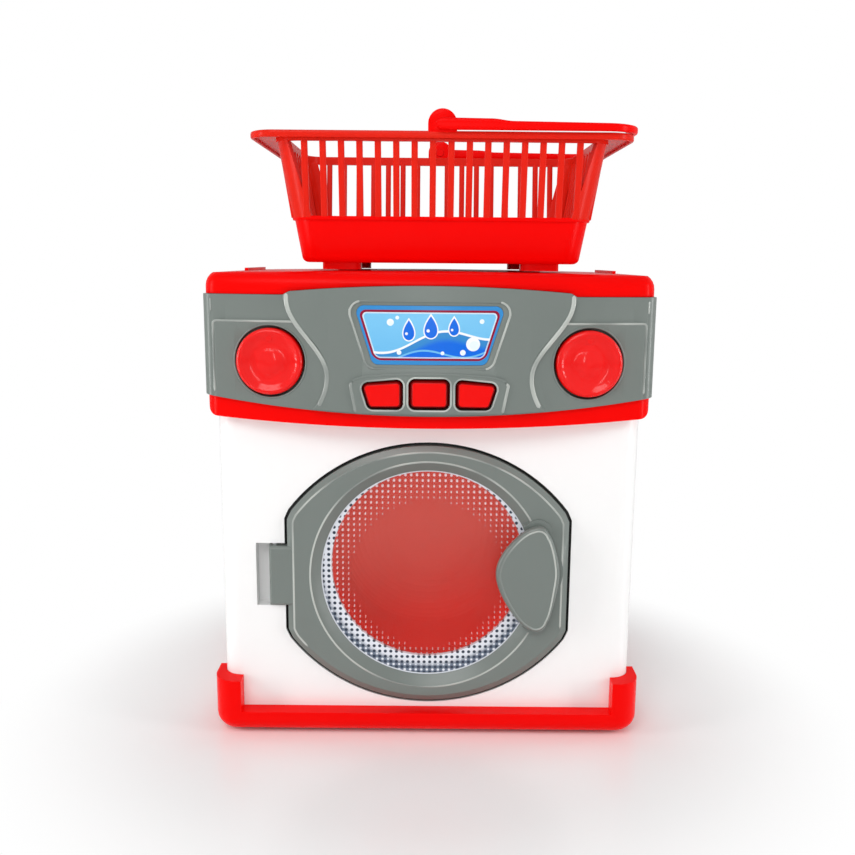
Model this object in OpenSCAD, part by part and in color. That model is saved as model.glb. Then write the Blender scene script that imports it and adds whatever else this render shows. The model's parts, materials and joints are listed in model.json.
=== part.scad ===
// Toy front-loading washing machine with a lift-off laundry basket on its top.
// Frame: X to the right, front towards -Y, Z up; the feet stand on Z = 0.

/* [Body] */
// Width of the white body
body_w = 194; // [190:1:196]
// Depth of the white body from its front face to its back face
body_d = 128.5; // [124:0.5:130]
// Wall of the white body and of its back cover
body_wall = 2.2; // [1.8:0.1:2.6]
// Radius of the body's upright corners
body_corner_r = 9; // [7:0.5:11]
// Height of the seam between body and head at the middle
seam_z = 149.6; // [148:0.2:151]
// Rise of that seam from the middle to the sides
seam_rise = 3.9; // [3:0.1:4.5]

/* [Head] */
// How far each side of the red head stands out past the body
head_overhang = 3.1; // [2.6:0.1:3.6]
// Depth of the head at its middle
head_d = 143.6; // [141:0.2:147]
// Height of the top of the head above the table
head_top = 218; // [216:0.5:222]
// Radius of the bow of the front, seen from above
bow_r = 505; // [450:5:600]
// Wall of the head
head_wall = 2.4; // [2:0.1:2.8]
// Radius of the round along the top edge
head_edge_r = 7; // [5:0.5:8]
// Rise of the top from its sides to its middle
head_crown = 1.2; // [0.6:0.1:1.4]
// How far the bow's middle stands ahead of the body's front face
front_overhang = 13; // [12:0.5:15]

/* [Control panel] */
// How far each end of the grey panel stands out past the head
panel_wrap = 0.7; // [0.5:0.1:1.2]
// Thickness of the panel
panel_t = 2.5; // [2.2:0.1:2.8]
// How far the panel stands proud of the head
panel_rise = 0.8; // [0.5:0.1:1.2]
// How far the middle fascia stands proud of the panel's ends
fascia_rise = 2.4; // [2:0.1:2.8]
// How far the raised ends around the knobs stand proud
end_rise = 1; // [0.6:0.1:1.2]
// Height of the panel's top edge at its ends
panel_top = 207.6; // [206:0.2:208]
// Height of the panel's bottom edge at the middle
panel_bottom = 155.1; // [154:0.2:156]
// Rise of the bottom edge from the middle to the ends
panel_bottom_rise = 7.9; // [7:0.1:8.5]

/* [Knobs and buttons] */
// Distance of each knob's axis from the head's side
knob_in = 30; // [29:0.5:31]
// Height of the knobs' axes
knob_z = 178.6; // [178:0.2:180]
// Radius of a knob
knob_r = 14.7; // [14:0.1:15.4]
// Gap round a knob in the panel
knob_gap = 1.2; // [0.8:0.1:1.4]
// Radius of a knob's spindle
knob_stem_r = 4; // [3:0.1:5]
// Distance between the middles of the buttons
button_pitch = 20.4; // [20.1:0.1:21]
// Width of the middle button
button_w = 17.4; // [16.6:0.1:17.8]
// Height of the middle button
button_h = 13; // [12:0.1:13.4]
// Height of the buttons' middles
button_z = 165.3; // [165:0.1:166]
// Gap round a button in the panel
button_gap = 0.5; // [0.4:0.1:0.7]
// How far a button's face stands proud of the fascia
button_proud = 0.8; // [0.5:0.1:1.2]
// Travel of a button
button_travel = 2; // [1.5:0.1:2.2]

/* [Door] */
// Half the width of the door
door_half_w = 65.3; // [64.5:0.1:66]
// Height of the door
door_h = 124; // [123:0.2:125.4]
// Height of the door's middle, which is the drum's axis
door_z = 77.7; // [77.2:0.1:78.2]
// Radius of the arcs at the door's top and bottom
door_arc_r = 80; // [79:0.5:83]
// Thickness of the door
door_t = 6.5; // [6:0.1:7]
// How far the door's face stands ahead of the body
door_proud = 2.5; // [2.2:0.1:3]
// Gap round the door
door_gap = 1.4; // [1:0.1:1.8]
// Radius of the window's opening
window_r = 50; // [48:0.2:50.4]
// Thickness of the window
window_t = 1.5; // [1.2:0.1:1.8]
// Radius of the hinge pin
hinge_pin_r = 1.25; // [1:0.05:1.4]
// How far the handle's face stands ahead of the door
handle_proud = 5.5; // [5:0.1:6.5]

/* [Drum] */
// Radius of the drum, outside
drum_r = 48.5; // [46:0.1:48.8]
// Depth of the drum
drum_d = 58; // [50:0.5:60]
// Wall of the drum
drum_wall = 1.8; // [1.4:0.1:2.2]
// Radius of the steel shaft that carries the drum
shaft_r = 2; // [1.6:0.1:2.5]

/* [Drive] */
// Module of the gear teeth
gear_m = 1.25; // [1.2:0.01:1.27]
// Width of the gears along their axes
gear_w = 5; // [4:0.5:6]
// Radius of the motor's can
motor_r = 10; // [9:0.1:10.5]
// Length of the motor's can
motor_len = 25; // [22:0.5:26]

/* [Base] */
// Side wall of the base tray
base_wall = 3.6; // [3:0.1:4]
// How far the base stands ahead of the body
base_front = 8; // [7:0.5:10]
// Height of the tray's rim
base_rim = 12.1; // [11:0.1:13]
// Height of the posts at the tray's corners
base_post = 27.5; // [24:0.5:32]
// Width of a post, seen from the front
post_w = 13.4; // [12.4:0.2:15]
// Radius of the round along the tray's bottom edge
base_edge_r = 8; // [6:0.5:9]
// Thickness of the tray's floor
base_floor = 2.6; // [2.2:0.1:3]
// Height of the tray's underside above the table
foot_h = 1.2; // [1:0.1:2]

/* [Basket] */
// Length of the basket's rim
basket_l = 173; // [169:1:177]
// Depth of the basket's rim
basket_d = 117; // [114:1:119]
// Height of the basket without its feet
basket_h = 57.5; // [54:0.5:62]
// Wall of the basket
basket_wall = 2; // [1.6:0.1:2.4]
// Height of the basket's closed lower band
basket_band = 20; // [16:0.5:24]
// Distance between the middles of the slots
slot_pitch = 8.1; // [7.8:0.1:8.5]
// Width of the bars between the slots
slot_bar = 3.1; // [2.6:0.1:3.4]
// How far the basket stands to the right of the middle
basket_shift = 4.9; // [-6:0.1:6]
// Height of the bail's bar
bail_h = 5.4; // [4.6:0.1:5.6]
// Thickness of the bail's bar
bail_t = 3; // [2.4:0.1:3.6]

/* [Power] */
// Length of one battery
cell_l = 50.5; // [50:0.1:51]
// Radius of one battery
cell_r = 7.2; // [7:0.05:7.25]

/* [Hidden] */
$fn = 96;

// Fits
run_gap = 0.05;      // radial clearance of a running fit
seat_gap = 0.2;      // clearance of a piece dropped into its place
air_gap = 0.3;       // clearance between pieces that move past each other
eps = 0.01;

// Widths
head_w = body_w + 2 * head_overhang;
panel_w = head_w + 2 * panel_wrap;
knob_x = head_w / 2 - knob_in;

// Depths, front to back
front_proud = fascia_rise + button_proud;
panel_y = -(head_d + panel_rise - front_proud) / 2;
head_y = panel_y + panel_rise;
head_back = head_y + head_d;
body_y = panel_y + front_overhang;
body_back = body_y + body_d;
door_y = body_y - door_proud;
door_back = door_y + door_t;
pan_y = door_back + 0.5;
pan_t = 2;
pan_back = pan_y + pan_t;
bow_c = panel_y + bow_r;
bow_steps = 28;
corner_steps = 6;

// Common modules ------------------------------------------------------

// Extrudes an outline drawn in the XZ plane from depth y0 to depth y1
module along_y(y0, y1) {
    translate([0, y1, 0]) rotate([90, 0, 0]) linear_extrude(y1 - y0) children();
}

// A round bar along Y
module y_rod(x, z, r, y0, y1) {
    translate([x, y1, z]) rotate([90, 0, 0]) cylinder(r = r, h = y1 - y0);
}

// A hull of circles at the given points: an outline with round corners
module soft_outline(points, r) {
    hull() for (p = points) translate(p) circle(r = r, $fn = 32);
}

// A rectangle with round corners, made of exact parts
module soft_rect(x0, y0, x1, y1, r, fn = 96) {
    translate([x0 + r, y0]) square([x1 - x0 - 2 * r, y1 - y0]);
    translate([x0, y0 + r]) square([x1 - x0, y1 - y0 - 2 * r]);
    for (x = [x0 + r, x1 - r], y = [y0 + r, y1 - r]) translate([x, y]) circle(r = r, $fn = fn);
}

function arc_pts(c, r, a0, a1, n, first = 0, last = 0) =
    [for (i = [first : n - last]) let (a = a0 + (a1 - a0) * i / n) c + r * [cos(a), sin(a)]];

// Plan of a bowed box with round corners, drawn in by inset from the panel's face
function bowed_plan(half_w, back, corner_r, inset) =
    let (r = bow_r - inset,
         k = max(corner_r - inset, 0.6),
         cx = half_w - inset - k,
         cy = bow_c - sqrt(pow(r - k, 2) - cx * cx),
         a = asin(cx / (r - k)),
         by = back - inset - k)
    concat(arc_pts([0, bow_c], r, -90 - a, -90 + a, bow_steps),
        arc_pts([cx, cy], k, -90 + a, 0, corner_steps, 1),
        arc_pts([cx, by], k, 0, 90, corner_steps),
        arc_pts([-cx, by], k, 90, 180, corner_steps),
        arc_pts([-cx, cy], k, 180, 270 - a, corner_steps, 0, 1));

// A curved sheet that follows the bow, from out to inn behind the panel's face
module bow_sheet(half_w, out, inn, z0, z1) {
    a = asin(half_w / (bow_r - inn));
    translate([0, 0, z0]) linear_extrude(z1 - z0)
        polygon(concat(arc_pts([0, bow_c], bow_r - out, -90 - a, -90 + a, bow_steps),
            arc_pts([0, bow_c], bow_r - inn, -90 + a, -90 - a, bow_steps)));
}

function bow_at(x, inset) = bow_c - sqrt(pow(bow_r - inset, 2) - x * x);
function seam_at(x) = seam_z + seam_rise * pow(x / (head_w / 2), 2);
function panel_low(x) = panel_bottom + panel_bottom_rise * pow(x / (panel_w / 2), 2);

// Screw with a pan head; it points along -Z with its head's underside at the origin
module screw(r, len, head_r, head_h) {
    color("silver") difference() {
        union() {
            translate([0, 0, -len]) cylinder(r = r, h = len);
            cylinder(r = head_r, h = head_h);
        }
        for (a = [0, 90]) rotate(a)
            translate([-head_r * 0.6, -0.35, head_h / 2]) cube([head_r * 1.2, 0.7, head_h]);
    }
}

// Base ----------------------------------------------------------------

base_half = body_w / 2 + seat_gap + base_wall;
base_y0 = body_y - base_front;
base_y1 = body_back + seat_gap + 2.4;
base_top = foot_h + base_floor;
base_corner_r = 11;
foot_r = 7;
foot_inset = 17;
foot_sink = 0.8;
corner_spots = [for (x = [-1, 1], y = [base_y0 + foot_inset, base_y1 - foot_inset])
    [x * (base_half - foot_inset), y]];
base_screw_spots = [for (x = [-1, 1], y = [body_y + 22, body_back - 30]) [x * (body_w / 2 - 9), y]];
screw_r = 1.4;
screw_head_r = 2.8;
screw_head_h = 1.6;

module body_plan(inset) {
    r = body_corner_r - inset;
    soft_rect(-body_w / 2 + inset, body_y + inset, body_w / 2 - inset, body_back - inset, max(r, 1));
}

module base_tray() color("red") difference() {
    hull() for (a = [0 : 15 : 90]) {
        inset = base_edge_r * (1 - cos(a));
        z = foot_h + base_edge_r * (1 - sin(a));
        translate([0, 0, z]) linear_extrude(a == 0 ? base_post - z : eps)
            soft_rect(-base_half + inset, base_y0 + inset, base_half - inset, base_y1 - inset,
                base_corner_r - inset, 36);
    }
    translate([0, 0, base_top]) linear_extrude(base_post) body_plan(-seat_gap);
    // The rim is low between the posts
    translate([-base_half + post_w, base_y0 - 1, base_rim])
        cube([2 * (base_half - post_w), base_y1 - base_y0 + 2, base_post]);
    translate([-base_half - 1, base_y0 + post_w + 7, base_rim])
        cube([2 * base_half + 2, base_y1 - base_y0 - 2 * post_w - 14, base_post]);
    for (p = corner_spots) translate([p[0], p[1], foot_h - eps])
        cylinder(r = foot_r + run_gap, h = foot_sink + eps);
    for (p = base_screw_spots) translate([p[0], p[1], 0]) {
        cylinder(r = screw_r + run_gap, h = base_top + 1);
        cylinder(r = screw_head_r + seat_gap, h = foot_h + screw_head_h);
    }
}

module rubber_feet() color("dimgray")
    for (p = corner_spots) translate([p[0], p[1], 0]) rotate_extrude()
        polygon([[0, 0], [foot_r - 1, 0], [foot_r, 0.8], [foot_r, foot_h + foot_sink],
            [0, foot_h + foot_sink]]);

module base_screws()
    for (p = base_screw_spots) translate([p[0], p[1], foot_h + screw_head_h]) mirror([0, 0, 1])
        screw(screw_r, 9, screw_head_r, screw_head_h);

// Body ----------------------------------------------------------------

spigot_top = seam_z + 7.6;
spigot_inset = 1.6;
case_screw_spots = [for (x = [-1, 1], z = [34, seam_z - 12]) [x * (body_w / 2 - 12), z]];
cover_y = body_back - body_wall;
cover_half = body_w / 2 - 7;
corner_reach = 5.2;
hinge_x = -door_half_w - 6.2;
hinge_y = door_back - 1.5;
pocket_w = 14.8;
pocket_h = 30.4;
pocket_x0 = -door_half_w - pocket_w;
pocket_z0 = door_z - pocket_h / 2 - 0.15;
pocket_z1 = pocket_z0 + pocket_h;
pocket_y = hinge_y + 4.5;
tab_x0 = -door_half_w - 8.4;
tab_z0 = pocket_z0 + 0.8;
tab_z1 = pocket_z1 - 1.1;
hinge_boss = 5;
mouth_r = window_r + 2;

// The door's outline, grown by d: two arcs, two upright sides and eased corners
module door_outline(d) intersection() {
    translate([0, door_z + door_h / 2 - door_arc_r]) circle(r = door_arc_r + d);
    translate([0, door_z - door_h / 2 + door_arc_r]) circle(r = door_arc_r + d);
    translate([0, door_z]) circle(r = door_half_w + corner_reach + d);
    translate([-door_half_w - d, 0]) square([2 * (door_half_w + d), door_z * 2]);
}

module pocket_box(d, y0, y1)
    translate([pocket_x0 - d, y0, pocket_z0 - d])
        cube([-door_half_w - pocket_x0 + d, y1 - y0, pocket_z1 - pocket_z0 + 2 * d]);

// The solid below the seam
module below_seam() along_y(body_y - 1, body_back + 1)
    polygon(concat([[head_w, 0], [-head_w, 0]],
        [for (i = [0 : 2 * bow_steps]) let (x = head_w * (i / bow_steps - 1)) [x, seam_at(x)]]));

module post(x, y, z0, z1, r) translate([x, y, z0]) cylinder(r = r, h = z1 - z0);

module body_shell() color("white") difference() {
    union() {
        difference() {
            union() {
                intersection() {
                    translate([0, 0, base_top]) linear_extrude(spigot_top) body_plan(0);
                    below_seam();
                }
                translate([0, 0, base_top]) linear_extrude(spigot_top - base_top)
                    body_plan(spigot_inset);
            }
            translate([0, 0, base_top - 1]) linear_extrude(spigot_top)
                body_plan(body_wall + spigot_inset - 0.4);
            // Open back for the cover
            translate([-cover_half, cover_y - 8, base_top - 1])
                cube([2 * cover_half, 20, spigot_top]);
        }
        // Pan that the door closes into, and the pocket of its hinge
        along_y(body_y + 0.5, pan_back) door_outline(door_gap + 2);
        pocket_box(2, body_y + 0.5, pocket_y + 2);
        // Ears of the hinge pin
        for (z = [pocket_z0 - hinge_boss, pocket_z1])
            translate([hinge_x - 3.4, body_y + 1, z]) cube([6.8, hinge_y - body_y + 2.4, hinge_boss]);
        // Posts of the screws that hold the base and the back cover
        for (p = base_screw_spots) {
            post(p[0], p[1], base_top, base_top + 12, 3.4);
            translate([p[0] > 0 ? p[0] : -body_w / 2 + 1, p[1] - 1, base_top])
                cube([body_w / 2 - 1 - abs(p[0]), 2, 12]);
        }
        for (p = case_screw_spots) {
            y_rod(p[0], p[1], 3.4, cover_y - 26, cover_y);
            translate([p[0] > 0 ? p[0] : -body_w / 2 + 1, cover_y - 26, p[1] - 1])
                cube([body_w / 2 - 1 - abs(p[0]), 24, 2]);
        }
    }
    // Recess of the door, mouth, slot of the latch
    along_y(body_y - 1, pan_y) door_outline(door_gap);
    y_rod(0, door_z, mouth_r, body_y - 1, pan_back + 1);
    pocket_box(0, body_y - 1, pocket_y);
    latch_slot(catch_gap);
    translate([hinge_x, hinge_y, pocket_z0 - hinge_boss + 1])
        cylinder(r = hinge_pin_r + run_gap, h = pocket_z1 - pocket_z0 + 2 * hinge_boss - 2);
    for (p = base_screw_spots) post(p[0], p[1], base_top - 1, base_top + 10, screw_r + run_gap);
    for (p = case_screw_spots) y_rod(p[0], p[1], screw_r + run_gap, cover_y - 14, cover_y + 1);
}

// Back cover with the battery well, the grille of the speaker and the screw seats
well_half = cell_l / 2 + 5;
well_z0 = 30;
well_h = 3 * 2 * cell_r + 6;
well_z1 = well_z0 + well_h;
well_d = 2 * cell_r + 2;
swing_gap = 0.6;
lid_half = well_half + 4;
lid_z0 = well_z0 - 3;
lid_z1 = well_z1 + 11;
speaker_x = cover_half - 38;
speaker_z = seam_z - 37.6;
speaker_r = 14;
rib_t = 1.5;
rib_h = 36;
rib_pitch = cover_half / 2.9;
toe_x = 20;
toe_w = 8;
lid_t = body_wall - air_gap;
lid_axis_y = body_back - lid_t / 2;
lid_axis_z = lid_z0 + lid_t / 2;
lid_screw_z = lid_z1 - 5;

module back_cover() color("whitesmoke") difference() {
    union() {
        translate([-cover_half + seat_gap, cover_y, base_top + seat_gap])
            cube([2 * (cover_half - seat_gap), body_wall, seam_z - 0.6 - base_top - seat_gap]);
        // Stiffening ribs and the collar of the speaker
        for (i = [-2 : 1])
            translate([(i * rib_pitch) - rib_t / 2, cover_y - 5, lid_z1 + 5]) cube([rib_t, 5.5, rib_h]);
        y_rod(speaker_x, speaker_z, speaker_r + 2, cover_y - 5, cover_y + eps);
        // Ledge behind the battery lid
        translate([-lid_half - 2, cover_y - 2, lid_z0 - 2])
            cube([2 * lid_half + 4, 2 + eps, lid_z1 - lid_z0 + 4]);
        y_rod(0, lid_screw_z, 4, cover_y - 9, cover_y);
    }
    translate([-lid_half - seat_gap, cover_y, lid_z0 - seat_gap])
        cube([2 * (lid_half + seat_gap), 10, lid_z1 - lid_z0 + 2 * seat_gap]);
    translate([-well_half, cover_y - 5, well_z0]) cube([2 * well_half, 10, well_h]);
    y_rod(0, lid_screw_z, screw_r + swing_gap, cover_y - 8, cover_y + 5);
    // Slots that the lid's toes reach into
    for (k = [-1, 1]) translate([k * toe_x - toe_w / 2 - air_gap, cover_y - 5, lid_z0 - 1.7])
        cube([toe_w + 2 * air_gap, 6, well_z0 - lid_z0 + 1.8]);
    y_rod(speaker_x, speaker_z, speaker_r + run_gap, cover_y - 6, cover_y);
    for (i = [-3 : 3]) let (half = sqrt(pow(speaker_r - 2, 2) - pow(i * 3.6, 2)))
        translate([speaker_x - half, cover_y - 1, speaker_z + i * 3.6 - 0.8])
            cube([2 * half, body_wall + 2, 1.6]);
    for (p = case_screw_spots) {
        y_rod(p[0], p[1], screw_r + run_gap, cover_y - 1, body_back + 1);
        y_rod(p[0], p[1], screw_head_r + seat_gap, body_back - screw_head_h, body_back + 1);
    }
}

module case_screws()
    for (p = case_screw_spots) translate([p[0], body_back - screw_head_h, p[1]]) rotate([-90, 0, 0])
        screw(screw_r, 9, screw_head_r, screw_head_h);

// Head ----------------------------------------------------------------

head_corner_r = 8;
panel_corner_r = 5;
panel_back = panel_y + 22;
lip_t = 2;
lip_w = 2;
well_wall = 1.8;
fascia_top = panel_top + 4.4;
waist_z = knob_z - 6.2;
waist_half = knob_x - 25.4;
shoulder_half = knob_x - 7.9;
shoulder_h = 33.6;
foot_half = knob_x - 17.5;
flare_h = 18.5;
fascia_corner = [shoulder_half - 1.2, fascia_top - 2.8];
fascia_low_half = foot_half - 2.6;
ledge_z = panel_top - 11.5;
end_half = head_w / 2 - 4.4;
top_rib_t = 1.8;
top_rib_l = 50;
top_rib_y = head_back - 1.5 * top_rib_l;

module head_plan(d)
    polygon(bowed_plan(head_w / 2 + panel_rise, head_back + panel_rise, head_corner_r, panel_rise + d));

// Front view of the head: curved seam below, eased corners, crowned top
module head_front(d) {
    half = head_w / 2 - d;
    r = 5;
    lift = d > 0 ? head_wall : 0;
    polygon(concat(
        arc_pts([-half + r, seam_at(half - r) + lift + r], r, 180, 270, corner_steps),
        [for (i = [1 : bow_steps - 1]) let (x = (half - r) * (2 * i / bow_steps - 1))
            [x, seam_at(x) + lift]],
        arc_pts([half - r, seam_at(half - r) + lift + r], r, 270, 360, corner_steps),
        [for (i = [0 : bow_steps]) let (x = half * (1 - 2 * i / bow_steps))
            [x, head_top - d - head_crown * pow(x / half, 2)]]));
}

module head_form(d) intersection() {
    r = head_edge_r - d * 0.6;
    hull() for (a = [0 : 15 : 90])
        translate([0, 0, a == 0 ? seam_z - 2 : head_top - d - r * (1 - sin(a))])
            linear_extrude(a == 0 ? head_top - d - r - seam_z + 2 : eps) head_plan(d + r * (1 - cos(a)));
    along_y(panel_y - 5, head_back + 5) head_front(d);
}

// Half the width of the fascia at a height: a shoulder above the waist, a flare below it
function fascia_half(z) = z > waist_z
    ? waist_half + (shoulder_half - waist_half) * (1 - cos(180 * min(1, (z - waist_z) / shoulder_h))) / 2
    : waist_half + (foot_half - waist_half) * pow((waist_z - z) / flare_h, 2);

// Front view of the panel's outline, drawn in by d
module panel_front(d) {
    half = panel_w / 2 - d;
    polygon(concat(
        [for (i = [0 : bow_steps]) let (x = half * (2 * i / bow_steps - 1)) [x, panel_low(x) + d]],
        [[half, panel_top - d], [fascia_corner[0] + 3 - d, panel_top - d],
            [fascia_corner[0] - d, fascia_corner[1] - d]],
        [for (i = [1 : bow_steps - 1]) let (x = (fascia_corner[0] - d) * (1 - 2 * i / bow_steps))
            [x, fascia_top - d - (fascia_top - fascia_corner[1]) * pow(x / fascia_corner[0], 2)]],
        [[-fascia_corner[0] + d, fascia_corner[1] - d], [-fascia_corner[0] - 3 + d, panel_top - d],
            [-half, panel_top - d]]));
}

// Front view of the fascia, with its waist
module fascia_front() {
    steps = 24;
    low = panel_low(fascia_low_half) - 1;
    side = [for (i = [0 : steps]) let (z = low + (fascia_corner[1] - low) * i / steps) [fascia_half(z), z]];
    polygon(concat(side,
        [for (i = [1 : 9]) let (x = fascia_corner[0] * (1 - i / 5))
            [x, fascia_top - (fascia_top - fascia_corner[1]) * pow(x / fascia_corner[0], 2)]],
        [for (i = [0 : steps]) [-side[steps - i][0], side[steps - i][1]]],
        [for (i = [1 : 9]) let (x = fascia_low_half * (i / 5 - 1)) [x, panel_low(x) - 1]]));
}

module head_housing() color("red") difference() {
    union() {
        difference() {
            head_form(0);
            difference() {
                head_form(head_wall);
                // Lip that the panel seats on
                intersection() {
                    bow_sheet(head_w / 2 - 0.5, panel_t, panel_t + lip_t, seam_z, head_top);
                    along_y(panel_y - 5, panel_back) difference() {
                        panel_front(-1.5);
                        panel_front(lip_w);
                    }
                }
            }
        }
        // Low ribs along the sides of the top
        for (k = [-1, 1])
            translate([k * (head_w / 2 - head_corner_r) - top_rib_t / 2, top_rib_y, head_top - 3])
                cube([top_rib_t, top_rib_l, 3.4]);
    }
    // Seat of the panel
    intersection() {
        along_y(panel_y - 5, panel_back + seat_gap) panel_front(-0.15);
        difference() {
            translate([-head_w, panel_y - 5, seam_z - 5])
                cube([2 * head_w, panel_back + seat_gap - panel_y + 5, head_top - seam_z + 10]);
            translate([0, 0, seam_z - 6]) linear_extrude(head_top - seam_z + 12)
                polygon(bowed_plan(panel_w / 2, panel_back + 50, panel_corner_r, panel_t));
        }
    }
    // Window behind the panel, with room for the knobs' wells
    along_y(panel_y - 5, panel_back) intersection() {
        panel_front(lip_w);
        translate([head_wall - head_w / 2, 0]) square([head_w - 2 * head_wall, head_top + 10]);
    }
    for (k = [-1, 1])
        y_rod(k * knob_x, knob_z, knob_r + knob_gap + well_wall + air_gap, panel_y - 5, panel_back);
    // Opening for the body's spigot
    translate([0, 0, seam_z - 5]) linear_extrude(spigot_top - seam_z + 5)
        body_plan(spigot_inset - seat_gap);
}

// Control panel -------------------------------------------------------

button_r = 2.6;
button_slope = 0.4;
button_drop = 1.6;
button_lean = 1.9;
button_bevel = 1.7;
button_side = 3;
flange_y = bow_at(32, panel_t) + air_gap;
flange_t = 1.2;
flange_back = flange_y + flange_t;
board_y = flange_back + 9.6;
board_t = 1.6;
board_half = 39;
board_h = 14;
board_post_x = 36;
switch_h = 3.4;
spring_r = 3.6;
wire_r = 0.35;
knob_face = bow_at(knob_x - knob_r, -end_rise) - 0.7;
knob_len = 9.5;
knob_rim = 1.8;
knob_dish = [[0, 0.045], [0.167, 0.0545], [0.308, 0.08], [0.41, 0.122], [0.577, 0.125], [0.744, 0.083],
    [0.846, 0.019]]; // radius and depth as shares of the knob's radius
stem_end = knob_len + 6.5;
well_floor = knob_face + knob_len + air_gap;
well_floor_t = 2;
label_depth = 0.8;
label_t = 0.3;
label_top_half = 28.4;
label_low_half = 22.3;
label_top = panel_top - 7.2;
label_low = panel_top - 26.2;
label_r = 3;
label_step = 1.8;
label_step_side = 1.2;
surround_rise = 0.5;
slope_depth = 7;
surround_half = 34.4;
surround_in = 2.3;
surround_top_half = 28;
surround_top = button_z + 8.8;
surround_arch = 1.3;
surround_low = 0.8;
end_in = knob_x - 26.1;
end_mid = knob_x - 1;

// Front view of button k (-1 left, 0 middle, 1 right), grown by d
module button_front(k, d) {
    half = button_w / 2 - button_r;
    hh = button_h / 2 - button_r;
    translate([k * button_pitch, button_z]) {
        if (k == 0) soft_outline([[-half, -hh], [half, -hh], [half, hh], [-half, hh]], button_r + d);
        else soft_outline([[-k * half, -hh], [k * (half - button_lean), -hh],
            [k * half, hh - button_drop], [-k * half, hh - button_slope]], button_r + d);
    }
}

// Front view of the raised field round the buttons
module surround_front() {
    low_half = surround_half - surround_in;
    low = panel_low(low_half) + surround_low;
    top = surround_top - surround_arch;
    side = [[low_half, low], [surround_half, top - 3.8], [low_half, top - 1.4], [surround_top_half, top]];
    polygon(concat(side,
        [for (i = [1 : 9]) let (c = 1 - i / 5)
            [surround_top_half * c, surround_top - surround_arch * c * c]],
        [for (i = [3 : -1 : 0]) [-side[i][0], side[i][1]]]));
}

// Front view of the label's pocket, grown by d, and by side more at each side
module label_front(d, side = 0)
    soft_outline([[-label_top_half - side, label_top], [label_top_half + side, label_top],
        [label_low_half + side, label_low], [-label_low_half - side, label_low]], label_r + d);

// What lies between the bowed faces at out and inn behind the panel's face, within the front view
module bowed_piece(out, inn) intersection() {
    bow_sheet(panel_w / 2 + 8, out, inn, panel_bottom - 5, fascia_top + 5);
    along_y(panel_y - 8, panel_back) children();
}

module control_panel() color("gray") difference() {
    union() {
        intersection() {
            difference() {
                translate([0, 0, panel_bottom - 5]) linear_extrude(fascia_top - panel_bottom + 10)
                    polygon(bowed_plan(panel_w / 2, panel_back + 30, panel_corner_r, 0));
                translate([0, 0, panel_bottom - 6]) linear_extrude(fascia_top - panel_bottom + 12)
                    polygon(bowed_plan(panel_w / 2, panel_back + 50, panel_corner_r, panel_t));
            }
            along_y(panel_y - 5, panel_back) panel_front(0);
        }
        // Fascia with a sloped edge
        intersection() {
            bow_sheet(panel_w / 2, -fascia_rise, panel_t - 0.5, panel_bottom - 5, fascia_top + 5);
            translate([0, panel_y + slope_depth / 2, waist_z]) rotate([90, 0, 0])
                linear_extrude(slope_depth, scale = [0.93, 0.97], slices = 1)
                    translate([0, -waist_z]) scale([1.03, 1.01]) fascia_front();
            along_y(panel_y - 5, panel_back) panel_front(0);
        }
        // Raised ends round the knobs
        for (k = [-1, 1]) bowed_piece(-end_rise, panel_t - 0.5)
            polygon([[k * end_in, panel_low(end_in) + 0.2], [k * end_mid, panel_low(end_mid) + 0.2],
                [k * end_half, panel_low(end_half) + 0.2], [k * end_half, ledge_z], [k * end_in, ledge_z]]);
        bowed_piece(-fascia_rise - surround_rise, 0) surround_front();
        // Wells of the knobs, posts of the board
        for (k = [-1, 1]) {
            y_rod(k * knob_x, knob_z, knob_r + knob_gap + well_wall, bow_at(knob_x, panel_t) - 0.5,
                well_floor + well_floor_t);
            y_rod(k * board_post_x, button_z, 2.8, bow_at(board_post_x, panel_t) - 1, board_y);
        }
    }
    for (k = [-1, 1]) {
        y_rod(k * knob_x, knob_z, knob_r + knob_gap, panel_y - 5, well_floor);
        y_rod(k * knob_x, knob_z, knob_stem_r + run_gap, well_floor - 1, well_floor + 5);
        y_rod(k * board_post_x, button_z, screw_r + run_gap, board_y - 6, board_y + 1);
    }
    for (k = [-1 : 1]) along_y(panel_y - 8, panel_y + 8) button_front(k, button_gap);
    bowed_piece(-fascia_rise - 3, -fascia_rise + label_depth) label_front(0.4);
    bowed_piece(-fascia_rise - 3, -fascia_rise + label_depth / 2) label_front(label_step, label_step_side);
}

module panel_label() color("lightskyblue")
    bowed_piece(-fascia_rise + label_depth - label_t, -fascia_rise + label_depth) label_front(0.2);

module panel_button(k) color("red") {
    intersection() {
        bow_sheet(panel_w / 2, -front_proud, 12, button_z - button_h, button_z + button_h);
        union() {
            hull() {
                along_y(panel_y - front_proud + button_side, flange_y + 0.2) button_front(k, 0);
                along_y(panel_y - front_proud - 1, panel_y - front_proud) button_front(k, -button_bevel);
            }
            along_y(flange_y, flange_back) button_front(k, 1.1);
        }
    }
    y_rod(k * button_pitch, button_z, 2, flange_back - 0.2, board_y - switch_h - button_travel - 0.1);
}

// Coil of round wire along Y, as one closed tube swept along the helix
module coil_spring(x, z, y0, y1, turns) {
    sides = 6;
    rings = turns * 14;
    pts = [for (i = [0 : rings]) let (a = 360 * turns * i / rings,
            y = y0 + wire_r + (y1 - y0 - 2 * wire_r) * i / rings)
        for (j = [0 : sides - 1]) let (b = 360 * j / sides, q = spring_r + wire_r * cos(b))
            [x + q * cos(a), y + wire_r * sin(b), z + q * sin(a)]];
    walls = [for (i = [0 : rings - 1], j = [0 : sides - 1]) let (k = (j + 1) % sides)
        [i * sides + j, i * sides + k, (i + 1) * sides + k, (i + 1) * sides + j]];
    polyhedron(points = pts, faces = concat(walls,
        [[for (j = [sides - 1 : -1 : 0]) j]], [[for (j = [0 : sides - 1]) rings * sides + j]]));
}

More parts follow.
